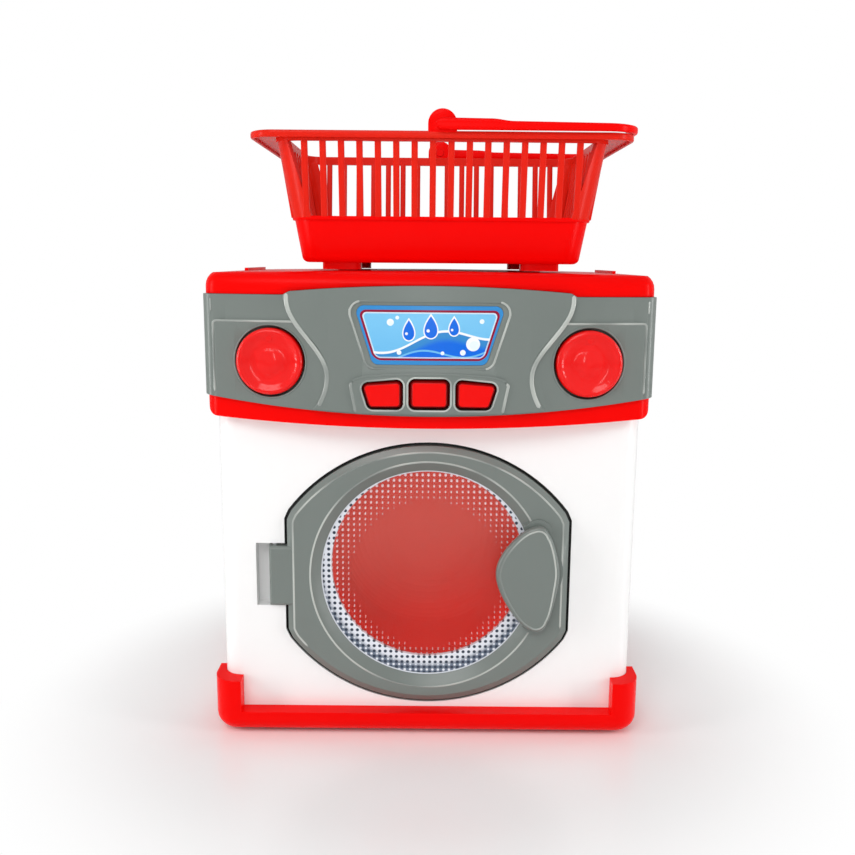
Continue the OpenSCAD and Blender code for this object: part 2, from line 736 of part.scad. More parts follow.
module button_spring(k) color("silver")
    coil_spring(k * button_pitch, button_z, flange_back + 0.1, board_y - 0.1, 5);

module circuit_board() color("green") difference() {
    along_y(board_y, board_y + board_t)
        translate([-board_half, button_z - board_h / 2]) square([2 * board_half, board_h]);
    for (k = [-1, 1]) y_rod(k * board_post_x, button_z, screw_r + run_gap, board_y - 1, board_y + 3);
}

module button_switches() color("black") for (k = [-1 : 1]) {
    translate([k * button_pitch - 2.1, board_y - 2.6, button_z - 2.1]) cube([4.2, 2.6, 4.2]);
    y_rod(k * button_pitch, button_z, 1.2, board_y - switch_h, board_y - 2.5);
}

module board_screws()
    for (k = [-1, 1]) translate([k * board_post_x, board_y + board_t, button_z]) rotate([-90, 0, 0])
        screw(screw_r, 6, screw_head_r, screw_head_h);

// Knob: round rim, shallow dish, low dome in the middle, pointer dot near the rim
module knob(k) color("red") translate([k * knob_x, knob_face, knob_z]) {
    rotate([-90, 0, 0]) rotate_extrude() polygon(concat(knob_dish * knob_r,
        arc_pts([knob_r - knob_rim, knob_rim], knob_rim, -80, 0, corner_steps),
        [[knob_r, knob_len], [knob_stem_r, knob_len], [knob_stem_r, stem_end], [0, stem_end]]));
    y_rod(0, knob_r * 0.68, 1.2, 1.1, 2.4);
}

module knob_clip(k) color("silver") difference() {
    y_rod(k * knob_x, knob_z, knob_stem_r + 3, well_floor + well_floor_t + air_gap,
        well_floor + well_floor_t + air_gap + 1.4);
    y_rod(k * knob_x, knob_z, knob_stem_r, well_floor, well_floor + 9);
}

// Door ----------------------------------------------------------------

door_bevel = 3;
ring_r = window_r + 4.6;
window_y = door_y + 4;
window_lip = 4;
window_rise = 1.5;
retainer_w = 8;
latch_x = door_half_w - 4.7;
latch_t = 3;
latch_h = 10;
catch_gap = 0.9;
handle_y = door_y - handle_proud;
handle_t = 2.5;
handle_x = door_half_w - 14.6;
handle_half_h = 21.1;
handle_end_r = 4.8;
handle_mid_r = 14.6;
handle_bulge = 0.6;
handle_short = 1;
handle_flanks = [[-7.3, -12.1], [-5.1, 17]]; // from the handle's middle
tab_w = 12;
pad_rise = 0.9;

module handle_front(d) hull() {
    for (k = [-1 : 0.5 : 1])
        translate([handle_x + handle_bulge * (1 - k * k),
            door_z + k * handle_half_h + handle_short * (1 - k) / 2])
            circle(r = handle_end_r + d, $fn = 32);
    for (p = handle_flanks) translate([handle_x, door_z] + p) circle(r = handle_end_r + d, $fn = 32);
    translate([handle_x - 4.6, door_z + 3.1]) circle(r = handle_mid_r + d, $fn = 48);
}

module door_frame() color("gray") difference() {
    union() {
        hull() {
            along_y(door_y + 1.5, door_back) door_outline(0);
            along_y(door_y, door_y + 0.1) door_outline(-door_bevel);
        }
        along_y(door_y - pad_rise, door_back - 1) handle_front(2.2);
        // Tab and knuckle of the hinge
        hull() {
            translate([tab_x0, door_y + 1, tab_z0]) cube([tab_w, 4, tab_z1 - tab_z0]);
            translate([tab_x0 + 1, door_y, tab_z0 + 1]) cube([tab_w, 4, tab_z1 - tab_z0 - 2]);
        }
        translate([hinge_x, hinge_y, tab_z0]) cylinder(r = 2.7, h = tab_z1 - tab_z0);
    }
    // Sloped ring down to the window
    difference() {
        translate([0, door_y - 0.5, door_z]) rotate([-90, 0, 0])
            cylinder(r1 = ring_r + 0.7, r2 = window_r, h = 4.2);
        along_y(door_y - 5, door_back) intersection() {
            handle_front(2.2);
            difference() {
                square([door_half_w, 2 * door_z]);
                translate([0, door_z]) circle(r = window_r + 0.8);
            }
        }
    }
    y_rod(0, door_z, window_r, door_y - 5, door_back + 1);
    y_rod(0, door_z, window_r + window_lip, window_y, door_back + 1);
    y_rod(0, door_z, window_r + retainer_w, window_y + window_t, door_back + 1);
    translate([hinge_x, hinge_y, 0]) cylinder(r = hinge_pin_r + run_gap, h = 200);
}

module door_window() color("lightcyan", 0.5) translate([0, window_y, door_z]) rotate([-90, 0, 0])
    rotate_extrude() polygon(concat(
        [for (i = [0 : 8]) let (r = (window_r - 1.5) * i / 8) [r, -window_rise * (1 - pow(i / 8, 2))]],
        [[window_r + window_lip - 0.1, 0], [window_r + window_lip - 0.1, window_t],
            [window_r - 2, window_t]],
        [for (i = [7 : -1 : 0]) let (r = (window_r - 2) * i / 8)
            [r, window_t - window_rise * (1 - pow(i / 8, 2))]]));

module window_retainer() color("gray") translate([0, window_y + window_t, door_z]) rotate([-90, 0, 0])
    rotate_extrude() translate([window_r + 0.6, 0])
        square([retainer_w - 0.7, door_back - window_y - window_t]);

module door_handle() color("gray") {
    hull() {
        along_y(handle_y + 1.4, handle_y + handle_t) handle_front(0);
        along_y(handle_y, handle_y + 0.1) handle_front(-1.6);
    }
    along_y(handle_y + handle_t - 0.1, door_y - pad_rise) difference() {
        handle_front(-1);
        translate([0, door_z]) circle(r = window_r + 1.4);
    }
}

module latch_slot(d) translate([latch_x - latch_t / 2 - d, door_back - 0.5, door_z - latch_h / 2 - d])
    cube([latch_t + 2 * d, 8, latch_h + 2 * d]);

module door_latch() color("gray") {
    translate([latch_x - latch_t / 2, door_back, door_z - latch_h / 2]) cube([latch_t, 8, latch_h]);
    translate([latch_x, door_back + 8, door_z - latch_h / 2]) cylinder(r = latch_t / 2, h = latch_h);
}

module door_catch() color("silver") for (k = [-1, 1]) {
    x = latch_x + k * (latch_t / 2 + catch_gap);
    translate([min(x, x + k), pan_back, door_z - 6]) cube([1, 12, 12]);
    translate([min(x, x + k * 2.4), pan_back, door_z - 6]) cube([2.4, 1, 12]);
    translate([k > 0 ? latch_x : latch_x - latch_t / 2 - catch_gap - 1, pan_back + 12, door_z - 6])
        cube([latch_t / 2 + catch_gap + 1, 1, 12]);
}

module hinge_pin() color("silver")
    post(hinge_x, hinge_y, pocket_z0 - hinge_boss + 1, pocket_z1 + hinge_boss - 1, hinge_pin_r);

// Drum and tub --------------------------------------------------------

drum_set_back = 14;
drum_y = pan_back + drum_set_back;
drum_back = drum_y + drum_d;
tub_r = drum_r + 2;
tub_wall = 2;
tub_back = drum_back + 2;
tub_end = tub_back + 2.2;
bearing_r = 4.5;
gear_y = tub_end + 3;
plate_y = gear_y + gear_w + 3;
plate_t = 2;
drum_bowl_r = 22;
hub_r = 8;
shaft_y = drum_back - 3.9;
dome_r = drum_r - drum_bowl_r - 1;
dome_rise = 5.2 - drum_wall;
tub_flange = 5;
post_ring_r = 43;
post_r = 4;

module around_drum() translate([0, 0, door_z]) rotate([-90, 0, 0]) rotate_extrude() children();

module tub() color("white") {
    around_drum() polygon([[tub_r, pan_back], [tub_r + tub_flange, pan_back],
        [tub_r + tub_flange, pan_back + tub_wall], [tub_r + tub_wall, pan_back + tub_wall],
        [tub_r + tub_wall, tub_end], [bearing_r, tub_end], [bearing_r, tub_back], [tub_r, tub_back]]);
    for (p = plate_posts) difference() {
        y_rod(p[0], p[1], post_r, tub_end - 0.5, plate_y);
        y_rod(p[0], p[1], screw_r + run_gap, plate_y - 8, plate_y + 1);
    }
}

module drum() color("red") {
    around_drum() polygon(concat(
        [[drum_r - 3, drum_y], [drum_r, drum_y]],
        arc_pts([drum_r - drum_bowl_r, drum_back - drum_bowl_r], drum_bowl_r, 0, 90, 10),
        [[hub_r, drum_back], [hub_r, drum_back + 1], [shaft_r, drum_back + 1], [shaft_r, shaft_y],
            [0, shaft_y]],
        [for (i = [0 : 8]) let (c = i / 8)
            [dome_r * c, shaft_y - 1.3 + dome_rise * (1 - cos(180 * c)) / 2]],
        arc_pts([drum_r - drum_bowl_r, drum_back - drum_bowl_r], drum_bowl_r - drum_wall, 90, 0, 10),
        [[drum_r - drum_wall, drum_y + 1.6], [drum_r - 3, drum_y + 1.6]]));
}

module drum_shaft() color("silver") y_rod(0, door_z, shaft_r, shaft_y, plate_y + plate_t + 2.4);

module drum_bearing() color("goldenrod") difference() {
    union() {
        y_rod(0, door_z, bearing_r, tub_back - 0.2, tub_end);
        y_rod(0, door_z, bearing_r + 1.5, tub_end, tub_end + 1);
    }
    y_rod(0, door_z, shaft_r + run_gap, tub_back - 2, tub_end + 2);
}

// Drive ---------------------------------------------------------------

drum_teeth = 48;
idler_teeth = 32;
pinion_teeth = 12;
idler_turn = -40;
pinion_turn = 60;
function pitch_r(n) = n * gear_m / 2;
idler_at = [0, door_z] + (pitch_r(drum_teeth) + pitch_r(idler_teeth)) * [cos(idler_turn), sin(idler_turn)];
pinion_at = idler_at
    + (pitch_r(idler_teeth) + pitch_r(pinion_teeth)) * [cos(pinion_turn), sin(pinion_turn)];
plate_posts = [for (a = [62, 150, -110, 22]) [0, door_z] + post_ring_r * [cos(a), sin(a)]];
axle_r = 1.5;
motor_shaft_r = 1;
motor_y = plate_y + plate_t;
clamp_x = 15;
plate_rim = 6;
plate_screw_l = 8;
clamp_screw_l = 4.6;

// Gear of n teeth on the XZ plane; one tooth points along phase
module gear(at, n, phase, bore) {
    pr = pitch_r(n);
    tip = pr + 0.8 * gear_m;
    root = pr - 1.1 * gear_m;
    step = 360 / n;
    difference() {
        union() {
            along_y(gear_y, gear_y + gear_w) translate(at) rotate(phase) polygon([for (i = [0 : n - 1])
                for (c = [[-0.36, root], [-0.13, tip], [0.13, tip], [0.36, root]])
                    c[1] * [cos((i + c[0]) * step), sin((i + c[0]) * step)]]);
            y_rod(at[0], at[1], bore + 2.5, gear_y - 0.8, gear_y + gear_w + 0.8);
        }
        y_rod(at[0], at[1], bore, gear_y - 2, gear_y + gear_w + 2);
        // Thin web between rim and hub
        if (n > 20) for (y = [gear_y - 1, gear_y + gear_w - 1.2]) difference() {
            y_rod(at[0], at[1], root - 2.5, y, y + 2.2);
            y_rod(at[0], at[1], bore + 2.5, y - 1, y + 4);
        }
    }
}

module drum_gear() color("ivory") gear([0, door_z], drum_teeth, idler_turn, shaft_r);

module idler_gear() color("ivory")
    gear(idler_at, idler_teeth, idler_turn + 180 + 180 / idler_teeth, axle_r + run_gap);

// The idler's teeth stand at idler_turn + 180 + half a step; the pinion meets a gap or a tooth there
pinion_phase = pinion_turn + 180 + 180 / pinion_teeth
    + ((pinion_turn - idler_turn - 180 - 180 / idler_teeth) * idler_teeth / pinion_teeth);

module motor_pinion() color("ivory") {
    gear(pinion_at, pinion_teeth, pinion_phase, motor_shaft_r);
    y_rod(pinion_at[0], pinion_at[1], motor_shaft_r, gear_y - 0.8, motor_y + 5);
}

module idler_axle() color("silver") {
    y_rod(idler_at[0], idler_at[1], axle_r, gear_y - 1.6, plate_y + plate_t);
    y_rod(idler_at[0], idler_at[1], axle_r + 1.2, gear_y - 2.1, gear_y - 1.1);
}

module gear_plate() color("white") difference() {
    along_y(plate_y, plate_y + plate_t)
        soft_outline(concat(plate_posts, [idler_at, pinion_at + [clamp_x, 0]]), plate_rim);
    for (p = plate_posts) y_rod(p[0], p[1], screw_r + run_gap, plate_y - 1, plate_y + 4);
    for (k = [-1, 1])
        y_rod(pinion_at[0] + k * clamp_x, pinion_at[1], screw_r + run_gap, plate_y - 1, plate_y + 4);
    y_rod(0, door_z, shaft_r + run_gap, plate_y - 1, plate_y + 4);
    y_rod(idler_at[0], idler_at[1], axle_r, plate_y - 1, plate_y + 4);
    y_rod(pinion_at[0], pinion_at[1], 3.2, plate_y - 1, plate_y + 4);
}

module plate_screws() {
    for (p = plate_posts) translate([p[0], motor_y, p[1]]) rotate([-90, 0, 0])
        screw(screw_r, plate_screw_l, screw_head_r, screw_head_h);
    for (k = [-1, 1]) translate([pinion_at[0] + k * clamp_x, motor_y + 2, pinion_at[1]])
        rotate([-90, 0, 0]) screw(screw_r, clamp_screw_l, screw_head_r, screw_head_h);
}

module drum_screw() color("silver") difference() {
    y_rod(0, door_z, shaft_r + 2, motor_y + air_gap, motor_y + air_gap + 1.4);
    y_rod(0, door_z, shaft_r, motor_y - 1, motor_y + 4);
}

module motor() color("lightsteelblue") difference() {
    along_y(motor_y, motor_y + motor_len) translate(pinion_at) intersection() {
        circle(r = motor_r);
        translate([-motor_r, -motor_r * 0.78]) square([2 * motor_r, motor_r * 1.56]);
    }
    y_rod(pinion_at[0], pinion_at[1], motor_shaft_r + run_gap, motor_y - 1, motor_y + 6);
}

module motor_clamp() color("white") difference() {
    union() {
        y_rod(pinion_at[0], pinion_at[1], motor_r + 1.8, motor_y, motor_y + 9);
        along_y(motor_y, motor_y + 2)
            soft_outline([for (k = [-1, 1]) pinion_at + [k * clamp_x, 0]], 3.6);
    }
    along_y(motor_y - 1, motor_y + 10) translate(pinion_at) intersection() {
        circle(r = motor_r);
        translate([-motor_r, -motor_r * 0.78]) square([2 * motor_r, motor_r * 1.56]);
    }
    for (k = [-1, 1])
        y_rod(pinion_at[0] + k * clamp_x, pinion_at[1], screw_r + run_gap, motor_y - 1, motor_y + 4);
}

// Power ---------------------------------------------------------------

box_wall = 1.6;
box_back = cover_y - 2;
box_y = box_back - well_d - box_wall;
cell_pitch = 2 * cell_r + 0.3;
cell_y = box_y + box_wall + air_gap + cell_r;
cell_zs = [for (i = [-1 : 1]) (well_z0 + well_z1) / 2 + i * cell_pitch];
contact_t = 0.5;
lid_head_h = 0.5;
lid_screw_l = 5.4;
groove_w = 24;

module battery_box() color("white") difference() {
    translate([-well_half - box_wall, box_y, well_z0 - box_wall])
        cube([2 * (well_half + box_wall), box_back - box_y, well_h + 2 * box_wall]);
    translate([-well_half, box_y + box_wall, well_z0]) cube([2 * well_half, 40, well_h]);
}

module batteries() color("darkorange") for (z = cell_zs) translate([-cell_l / 2, cell_y, z])
    rotate([0, 90, 0]) {
        cylinder(r = cell_r, h = cell_l - 1.2);
        cylinder(r = 2.7, h = cell_l);
    }

module battery_contacts() color("silver") for (z = cell_zs, k = [-1, 1]) {
    translate([k > 0 ? well_half - contact_t : -well_half, cell_y - 4.5, z - 5])
        cube([contact_t, 9, 10]);
    translate([k > 0 ? cell_l / 2 : -well_half, cell_y, z]) rotate([0, 90, 0])
        cylinder(r = 2.4, h = well_half - cell_l / 2);
}

module speaker() color("dimgray") {
    y_rod(speaker_x, speaker_z, speaker_r, cover_y - 6, cover_y);
    y_rod(speaker_x, speaker_z, speaker_r * 0.58, cover_y - 12, cover_y - 5.9);
}

// The lid's lower edge is a round bead that it turns on; its toes hook behind the back cover
module battery_cover() color("whitesmoke") difference() {
    union() {
        translate([-lid_half + air_gap, lid_axis_y - lid_t / 2, lid_axis_z])
            cube([2 * (lid_half - air_gap), lid_t, lid_z1 - air_gap - lid_axis_z]);
        translate([-lid_half + air_gap, lid_axis_y, lid_axis_z]) rotate([0, 90, 0])
            cylinder(r = lid_t / 2, h = 2 * (lid_half - air_gap));
        for (k = [-1, 1]) translate([k * toe_x - toe_w / 2, cover_y - 0.6, 0]) {
            translate([0, 0, lid_z0 - 1.2]) cube([toe_w, 1, 3]);
            translate([0, 0, lid_z0 + 0.2]) cube([toe_w, lid_axis_y - cover_y + 0.6, 1.6]);
        }
    }
    y_rod(0, lid_screw_z, screw_r + run_gap, cover_y - 1, body_back + 1);
    y_rod(0, lid_screw_z, screw_head_r + seat_gap, body_back - lid_head_h, body_back + 1);
    // Finger grooves
    for (i = [0 : 4]) translate([-groove_w / 2, body_back - 0.6, lid_z1 - 18 - 3 * i])
        cube([groove_w, 2, 1.2]);
}

module battery_cover_screw() translate([0, body_back - lid_head_h, lid_screw_z]) rotate([-90, 0, 0])
    screw(screw_r, lid_screw_l, screw_head_r, lid_head_h);

// Basket --------------------------------------------------------------

basket_foot = 3.2;
basket_z0 = head_top + air_gap + basket_foot;
basket_z1 = basket_z0 + basket_h;
basket_y = (head_y + head_back) / 2 + 7.6;
wall_half = [basket_l / 2 - 11, basket_d / 2 - 2.5];
taper = 9.5;
taper_share = 0.9; // of the long sides' lean beside that of the ends
foot_w = 18;
foot_l = 10;
foot_at = [46.5, 36];
basket_corner_r = 12;
rim_t = 3.8;
step_in = 1;
band_z = basket_z0 + basket_band;
slot_top = basket_z1 - rim_t - 0.4;
slot_n = floor((wall_half[0] - slot_pitch) / slot_pitch + 0.3);
slot_m = floor((wall_half[1] - slot_pitch) / slot_pitch + 0.3);
ear_r = 6.4;
ear_t = 2.2;
bail_z = basket_z1 + air_gap + bail_h / 2 + 0.1;
bail_len = basket_l / 2 + 1.6;
bail_corner_r = 15;
bail_step_x = 24;
bail_step = 0.7;
peg_r = 2;
bail_half = basket_d / 2 + air_gap + bail_t;

// How far the basket's wall is drawn in at a height
function draw_in(z) = taper * (basket_z1 - z) / basket_h;

module basket_slice(z, d) translate([0, 0, z]) linear_extrude(eps)
    let (x = wall_half[0] - draw_in(z) - d, y = wall_half[1] - taper_share * draw_in(z) - d)
        soft_rect(-x, -y, x, y, basket_corner_r - d, 36);

module at_basket() translate([basket_shift, basket_y, 0]) children();

module basket() color("red") at_basket() {
    difference() {
        union() {
            hull() {
                basket_slice(basket_z0 + 2.4, step_in);
                basket_slice(basket_z0, step_in + 2.4);
                basket_slice(band_z + 0.5, step_in);
            }
            hull() {
                basket_slice(band_z - 0.8, 0);
                basket_slice(basket_z1 - eps, 0);
            }
            // Rim, with a broad flange at each end
            translate([0, 0, basket_z1 - rim_t]) linear_extrude(rim_t)
                soft_rect(-basket_l / 2, -basket_d / 2, basket_l / 2, basket_d / 2, basket_corner_r);
            for (x = [-1, 1], y = [-1, 1])
                translate([x * foot_at[0], y * foot_at[1], basket_z0 + (1 - basket_foot) / 2])
                    cube([foot_w, foot_l, basket_foot + 1], center = true);
        }
        hull() {
            basket_slice(basket_z0 + basket_wall, step_in + basket_wall);
            basket_slice(basket_z1 + 1, step_in + basket_wall);
        }
        // Underside of the flange is hollow between the wall and the outer lip
        translate([0, 0, basket_z1 - rim_t - 1]) linear_extrude(rim_t - 0.8) difference() {
            square([basket_l - 4, basket_d - 24], center = true);
            square([2 * wall_half[0] + 1, basket_d], center = true);
        }
        // Slots of the long sides fan out with the wall
        for (i = [-slot_n : slot_n]) {
            half = (slot_pitch - slot_bar) / 2;
            low = (wall_half[0] - draw_in(band_z)) / wall_half[0];
            along_y(-basket_d, basket_d) polygon([[i * slot_pitch * low - half * low, band_z + 1],
                [i * slot_pitch * low + half * low, band_z + 1],
                [i * slot_pitch + half, slot_top], [i * slot_pitch - half, slot_top]]);
        }
        for (i = [-slot_m : slot_m])
            translate([-basket_l, i * slot_pitch - (slot_pitch - slot_bar) / 2, band_z + 1])
                cube([2 * basket_l, slot_pitch - slot_bar, slot_top - band_z - 1]);
    }
    // Ears that carry the bail
    for (k = [-1, 1]) difference() {
        translate([0, k > 0 ? basket_d / 2 - ear_t : -basket_d / 2, 0]) {
            along_y(0, ear_t) {
                translate([0, bail_z]) circle(r = ear_r);
                translate([-ear_r, basket_z1 - rim_t]) square([2 * ear_r, bail_z - basket_z1 + rim_t]);
            }
        }
        y_rod(0, bail_z, peg_r + run_gap, -basket_d, basket_d);
    }
}

// Side view of the bail: a little higher near its ears, and round at its far end
module bail_side() {
    low = bail_z - bail_h / 2;
    top = bail_z + bail_h / 2 - bail_step;
    hull() {
        translate([-ear_r, low]) square([bail_len, top - low]);
        translate([bail_len - 1.5, low + 1.5]) circle(r = 1.5, $fn = 32);
        translate([bail_len - 1.5, top - 1.5]) circle(r = 1.5, $fn = 32);
    }
    polygon([[-ear_r, top - 1], [bail_step_x + 8, top - 1], [bail_step_x + 8, top],
        [bail_step_x, top + bail_step], [-ear_r, top + bail_step]]);
}

module basket_bail() color("red") at_basket() {
    intersection() {
        along_y(-basket_d, basket_d) bail_side();
        translate([0, 0, bail_z - bail_h]) linear_extrude(2 * bail_h) difference() {
            soft_rect(-40, -bail_half, bail_len, bail_half, bail_corner_r);
            soft_rect(-50, -bail_half + bail_t, bail_len - bail_t - 0.6, bail_half - bail_t,
                bail_corner_r - bail_t);
            translate([-50 - ear_r / 2, -basket_d]) square([50, 2 * basket_d]);
        }
    }
    for (k = [-1, 1]) y_rod(0, bail_z, peg_r, k > 0 ? basket_d / 2 - ear_t - 0.4 : -bail_half + 1,
        k > 0 ? bail_half - 1 : -basket_d / 2 + ear_t + 0.4);
}

module left_knob() knob(-1);
module right_knob() knob(1);
module left_knob_clip() knob_clip(-1);
module right_knob_clip() knob_clip(1);
module left_button() panel_button(-1);
module middle_button() panel_button(0);
module right_button() panel_button(1);
module left_button_spring() button_spring(-1);
module middle_button_spring() button_spring(0);
module right_button_spring() button_spring(1);

base_tray();
rubber_feet();
base_screws();
body_shell();
back_cover();
case_screws();
head_housing();
control_panel();
panel_label();
circuit_board();
button_switches();
board_screws();
tub();
drum_bearing();
gear_plate();
plate_screws();
idler_axle();
motor();
motor_clamp();
battery_box();
batteries();
battery_contacts();
speaker();
hinge_pin();
door_catch();
door_frame();
door_window();
window_retainer();
door_handle();
door_latch();
drum();
drum_shaft();
drum_gear();
drum_screw();
idler_gear();
motor_pinion();
left_knob();
left_knob_clip();
right_knob();
right_knob_clip();
left_button();
left_button_spring();
middle_button();
middle_button_spring();
right_button();
right_button_spring();
battery_cover();
battery_cover_screw();
basket();
basket_bail();
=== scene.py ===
"""Toy washing machine with a laundry basket on top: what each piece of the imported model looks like."""
import json

import bmesh
import bpy
import numpy as np
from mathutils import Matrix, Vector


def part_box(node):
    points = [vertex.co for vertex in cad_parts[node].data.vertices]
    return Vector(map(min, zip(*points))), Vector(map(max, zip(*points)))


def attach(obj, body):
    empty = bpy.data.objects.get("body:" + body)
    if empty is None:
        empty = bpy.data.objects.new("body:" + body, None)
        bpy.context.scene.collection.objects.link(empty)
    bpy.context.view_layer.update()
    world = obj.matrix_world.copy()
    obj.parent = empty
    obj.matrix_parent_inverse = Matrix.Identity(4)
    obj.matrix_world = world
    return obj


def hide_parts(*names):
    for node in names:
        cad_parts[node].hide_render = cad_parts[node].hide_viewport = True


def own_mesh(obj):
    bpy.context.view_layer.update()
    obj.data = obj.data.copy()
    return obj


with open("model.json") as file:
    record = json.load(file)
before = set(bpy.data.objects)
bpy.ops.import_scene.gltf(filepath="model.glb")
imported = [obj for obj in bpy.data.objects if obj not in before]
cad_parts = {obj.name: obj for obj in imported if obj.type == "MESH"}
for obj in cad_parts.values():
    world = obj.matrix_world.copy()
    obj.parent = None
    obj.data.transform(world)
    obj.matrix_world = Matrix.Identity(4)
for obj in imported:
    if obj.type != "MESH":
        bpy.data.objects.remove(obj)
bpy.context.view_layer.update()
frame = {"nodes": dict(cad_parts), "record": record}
MM = 0.001


# Camera -----------------------------------------------------------------
# A slightly wide lens, 474 mm ahead of the machine's middle and 223 mm above the table, that looks down by
# ten degrees.
lens = bpy.data.cameras.new("shot")
lens.lens = 39.16
lens.sensor_width = 36.0
lens.shift_x = -0.0033
shot = bpy.data.objects.new("shot", lens)
shot.location = (0.0, -0.474, 0.223)
shot.rotation_euler = (np.radians(90.0 - 10.21), np.radians(-0.5), 0.0)
bpy.context.collection.objects.link(shot)
scene = bpy.context.scene
scene.camera = shot
scene.view_settings.view_transform = "Standard"


# Studio -----------------------------------------------------------------
# A seamless pale sweep, white to the camera, under a soft sky and four cloth-covered lamps: a broad one high
# to the left of the lens, a tall one at each side and a narrow one straight ahead.
class Signal:
    """One shader socket. Plus, minus, times, over and power with it, or with a number on either side, each
    add one Math node; the result is another Signal."""

    def __init__(self, finish, socket):
        self.finish, self.socket = finish, socket

    def _math(self, operation, *values):
        return self.finish.node("ShaderNodeMath", {"operation": operation}, *values)

    def __add__(self, other):
        return self._math("ADD", self, other)

    def __radd__(self, other):
        return self._math("ADD", other, self)

    def __sub__(self, other):
        return self._math("SUBTRACT", self, other)

    def __rsub__(self, other):
        return self._math("SUBTRACT", other, self)

    def __mul__(self, other):
        return self._math("MULTIPLY", self, other)

    def __rmul__(self, other):
        return self._math("MULTIPLY", other, self)

    def __truediv__(self, other):
        return self._math("DIVIDE", self, other)

    def __pow__(self, other):
        return self._math("POWER", self, other)

    def most(self, other):
        """The greater of the two."""
        return self._math("MAXIMUM", self, other)

    def least(self, other):
        """The smaller of the two."""
        return self._math("MINIMUM", self, other)

    def size(self):
        """The number without its sign."""
        return self._math("ABSOLUTE", self)

    def wave(self):
        """The sine of an angle in radians."""
        return self._math("SINE", self)

    def fold(self):
        """How far the number is from the nearest whole one."""
        return self._math("PINGPONG", self, 0.5)

    def rise(self, low, high):
        """0 below low, 1 above high and a smooth step between; with low above high it falls instead."""
        return self.finish.node("ShaderNodeMapRange", {"interpolation_type": "SMOOTHSTEP"},
                                self, low, high, 0.0, 1.0)


class Finish:
    """A material: one Principled shader, and methods that add the nodes which feed it."""

    def __init__(self, name, **constants):
        self.material = bpy.data.materials.new(name)
        self.material.use_nodes = True
        self.tree = self.material.node_tree
        self.tree.nodes.clear()
        self.output = self.tree.nodes.new("ShaderNodeOutputMaterial")
        self.skin = self.tree.nodes.new("ShaderNodeBsdfPrincipled")
        self.tree.links.new(self.skin.outputs[0], self.output.inputs[0])
        self.wear(**constants)

    def feed(self, socket, value):
        """A Signal is linked to the socket, and a number or colour is set on it."""
        if isinstance(value, Signal):
            self.tree.links.new(value.socket, socket)
        else:
            socket.default_value = value

    def node(self, kind, settings, *values, out=0, **named):
        """A node of that kind: its settings first, then its sockets in order, then its sockets by name."""
        made = self.tree.nodes.new(kind)
        for key, value in settings.items():
            setattr(made, key, value)
        for socket, value in zip(made.inputs, values):
            self.feed(socket, value)
        for key, value in named.items():
            self.feed(made.inputs[key.replace("_", " ")], value)
        return Signal(self, made.outputs[out])

    def wear(self, **sockets):
        """Feeds the shader's sockets: Base_Color=..., Roughness=... and so on."""
        for key, value in sockets.items():
            self.feed(self.skin.inputs[key.replace("_", " ")], value)

    def blend(self, share, first, second):
        """Colour first where share is 0 and second where it is 1."""
        made = self.tree.nodes.new("ShaderNodeMix")
        made.data_type = "RGBA"
        for index, value in ((0, share), (6, first), (7, second)):
            self.feed(made.inputs[index], value)
        return Signal(self, made.outputs[2])

    def place(self):
        """The point's own place in the machine, in metres."""
        return self.node("ShaderNodeTexCoord", {}, out=3)

    def axes(self, point):
        """The three numbers of a point."""
        made = self.tree.nodes.new("ShaderNodeSeparateXYZ")
        self.feed(made.inputs[0], point)
        return [Signal(self, made.outputs[i]) for i in range(3)]

    def cloud(self, scale, detail=2.0, roughness=0.5):
        """Soft noise from 0 to 1 with that many lumps to the metre."""
        return self.node("ShaderNodeTexNoise", {}, Vector=self.place(), Scale=scale, Detail=detail,
                         Roughness=roughness)

    def bumpy(self, height, depth):
        """Feeds the shader's normal from a height of 0 to 1 that stands for depth metres."""
        self.wear(Normal=self.node("ShaderNodeBump", {}, Strength=1.0, Distance=depth, Height=height))


sky = bpy.data.worlds.new("sky")
sky.use_nodes = True
scene.world = sky
air = Finish.__new__(Finish)
air.tree = sky.node_tree
PAPER_WHITE = (1.0, 1.0, 1.0, 1.0)
sky_strength, seen_strength = 0.44, 1.0
air.tree.nodes.clear()
rays = air.tree.nodes.new("ShaderNodeLightPath")
seen = Signal(air, rays.outputs["Is Camera Ray"]).most(
    Signal(air, rays.outputs["Is Transmission Ray"])).most(Signal(air, rays.outputs["Is Glossy Ray"]))
glow = air.node("ShaderNodeBackground", {}, PAPER_WHITE, sky_strength)
white = air.node("ShaderNodeBackground", {}, PAPER_WHITE, seen_strength)
air.feed(air.tree.nodes.new("ShaderNodeOutputWorld").inputs[0],
         air.node("ShaderNodeMixShader", {}, seen, glow, white))


def lamp(name, place, aim, width, height, watts):
    """A rectangular lamp at place that faces aim."""
    light = bpy.data.lights.new(name, "AREA")
    light.shape = "RECTANGLE"
    light.size, light.size_y, light.energy = width, height, watts
    held = bpy.data.objects.new(name, light)
    held.location = place
    held.rotation_euler = (held.location - type(held.location)(aim)).to_track_quat("Z", "Y").to_euler()
    bpy.context.collection.objects.link(held)


lamp("key", (-0.25, -0.9, 0.95), (0.0, 0.0, 0.12), 0.7, 0.5, 4.5)
lamp("left_strip", (-0.7, -0.3, 0.25), (0.0, -0.05, 0.15), 0.12, 0.5, 2.0)
lamp("right_strip", (0.7, -0.3, 0.25), (0.0, -0.05, 0.15), 0.12, 0.5, 2.0)
lamp("front_strip", (0.0, -0.9, 0.3), (0.0, 0.0, 0.18), 0.03, 0.3, 0.35)


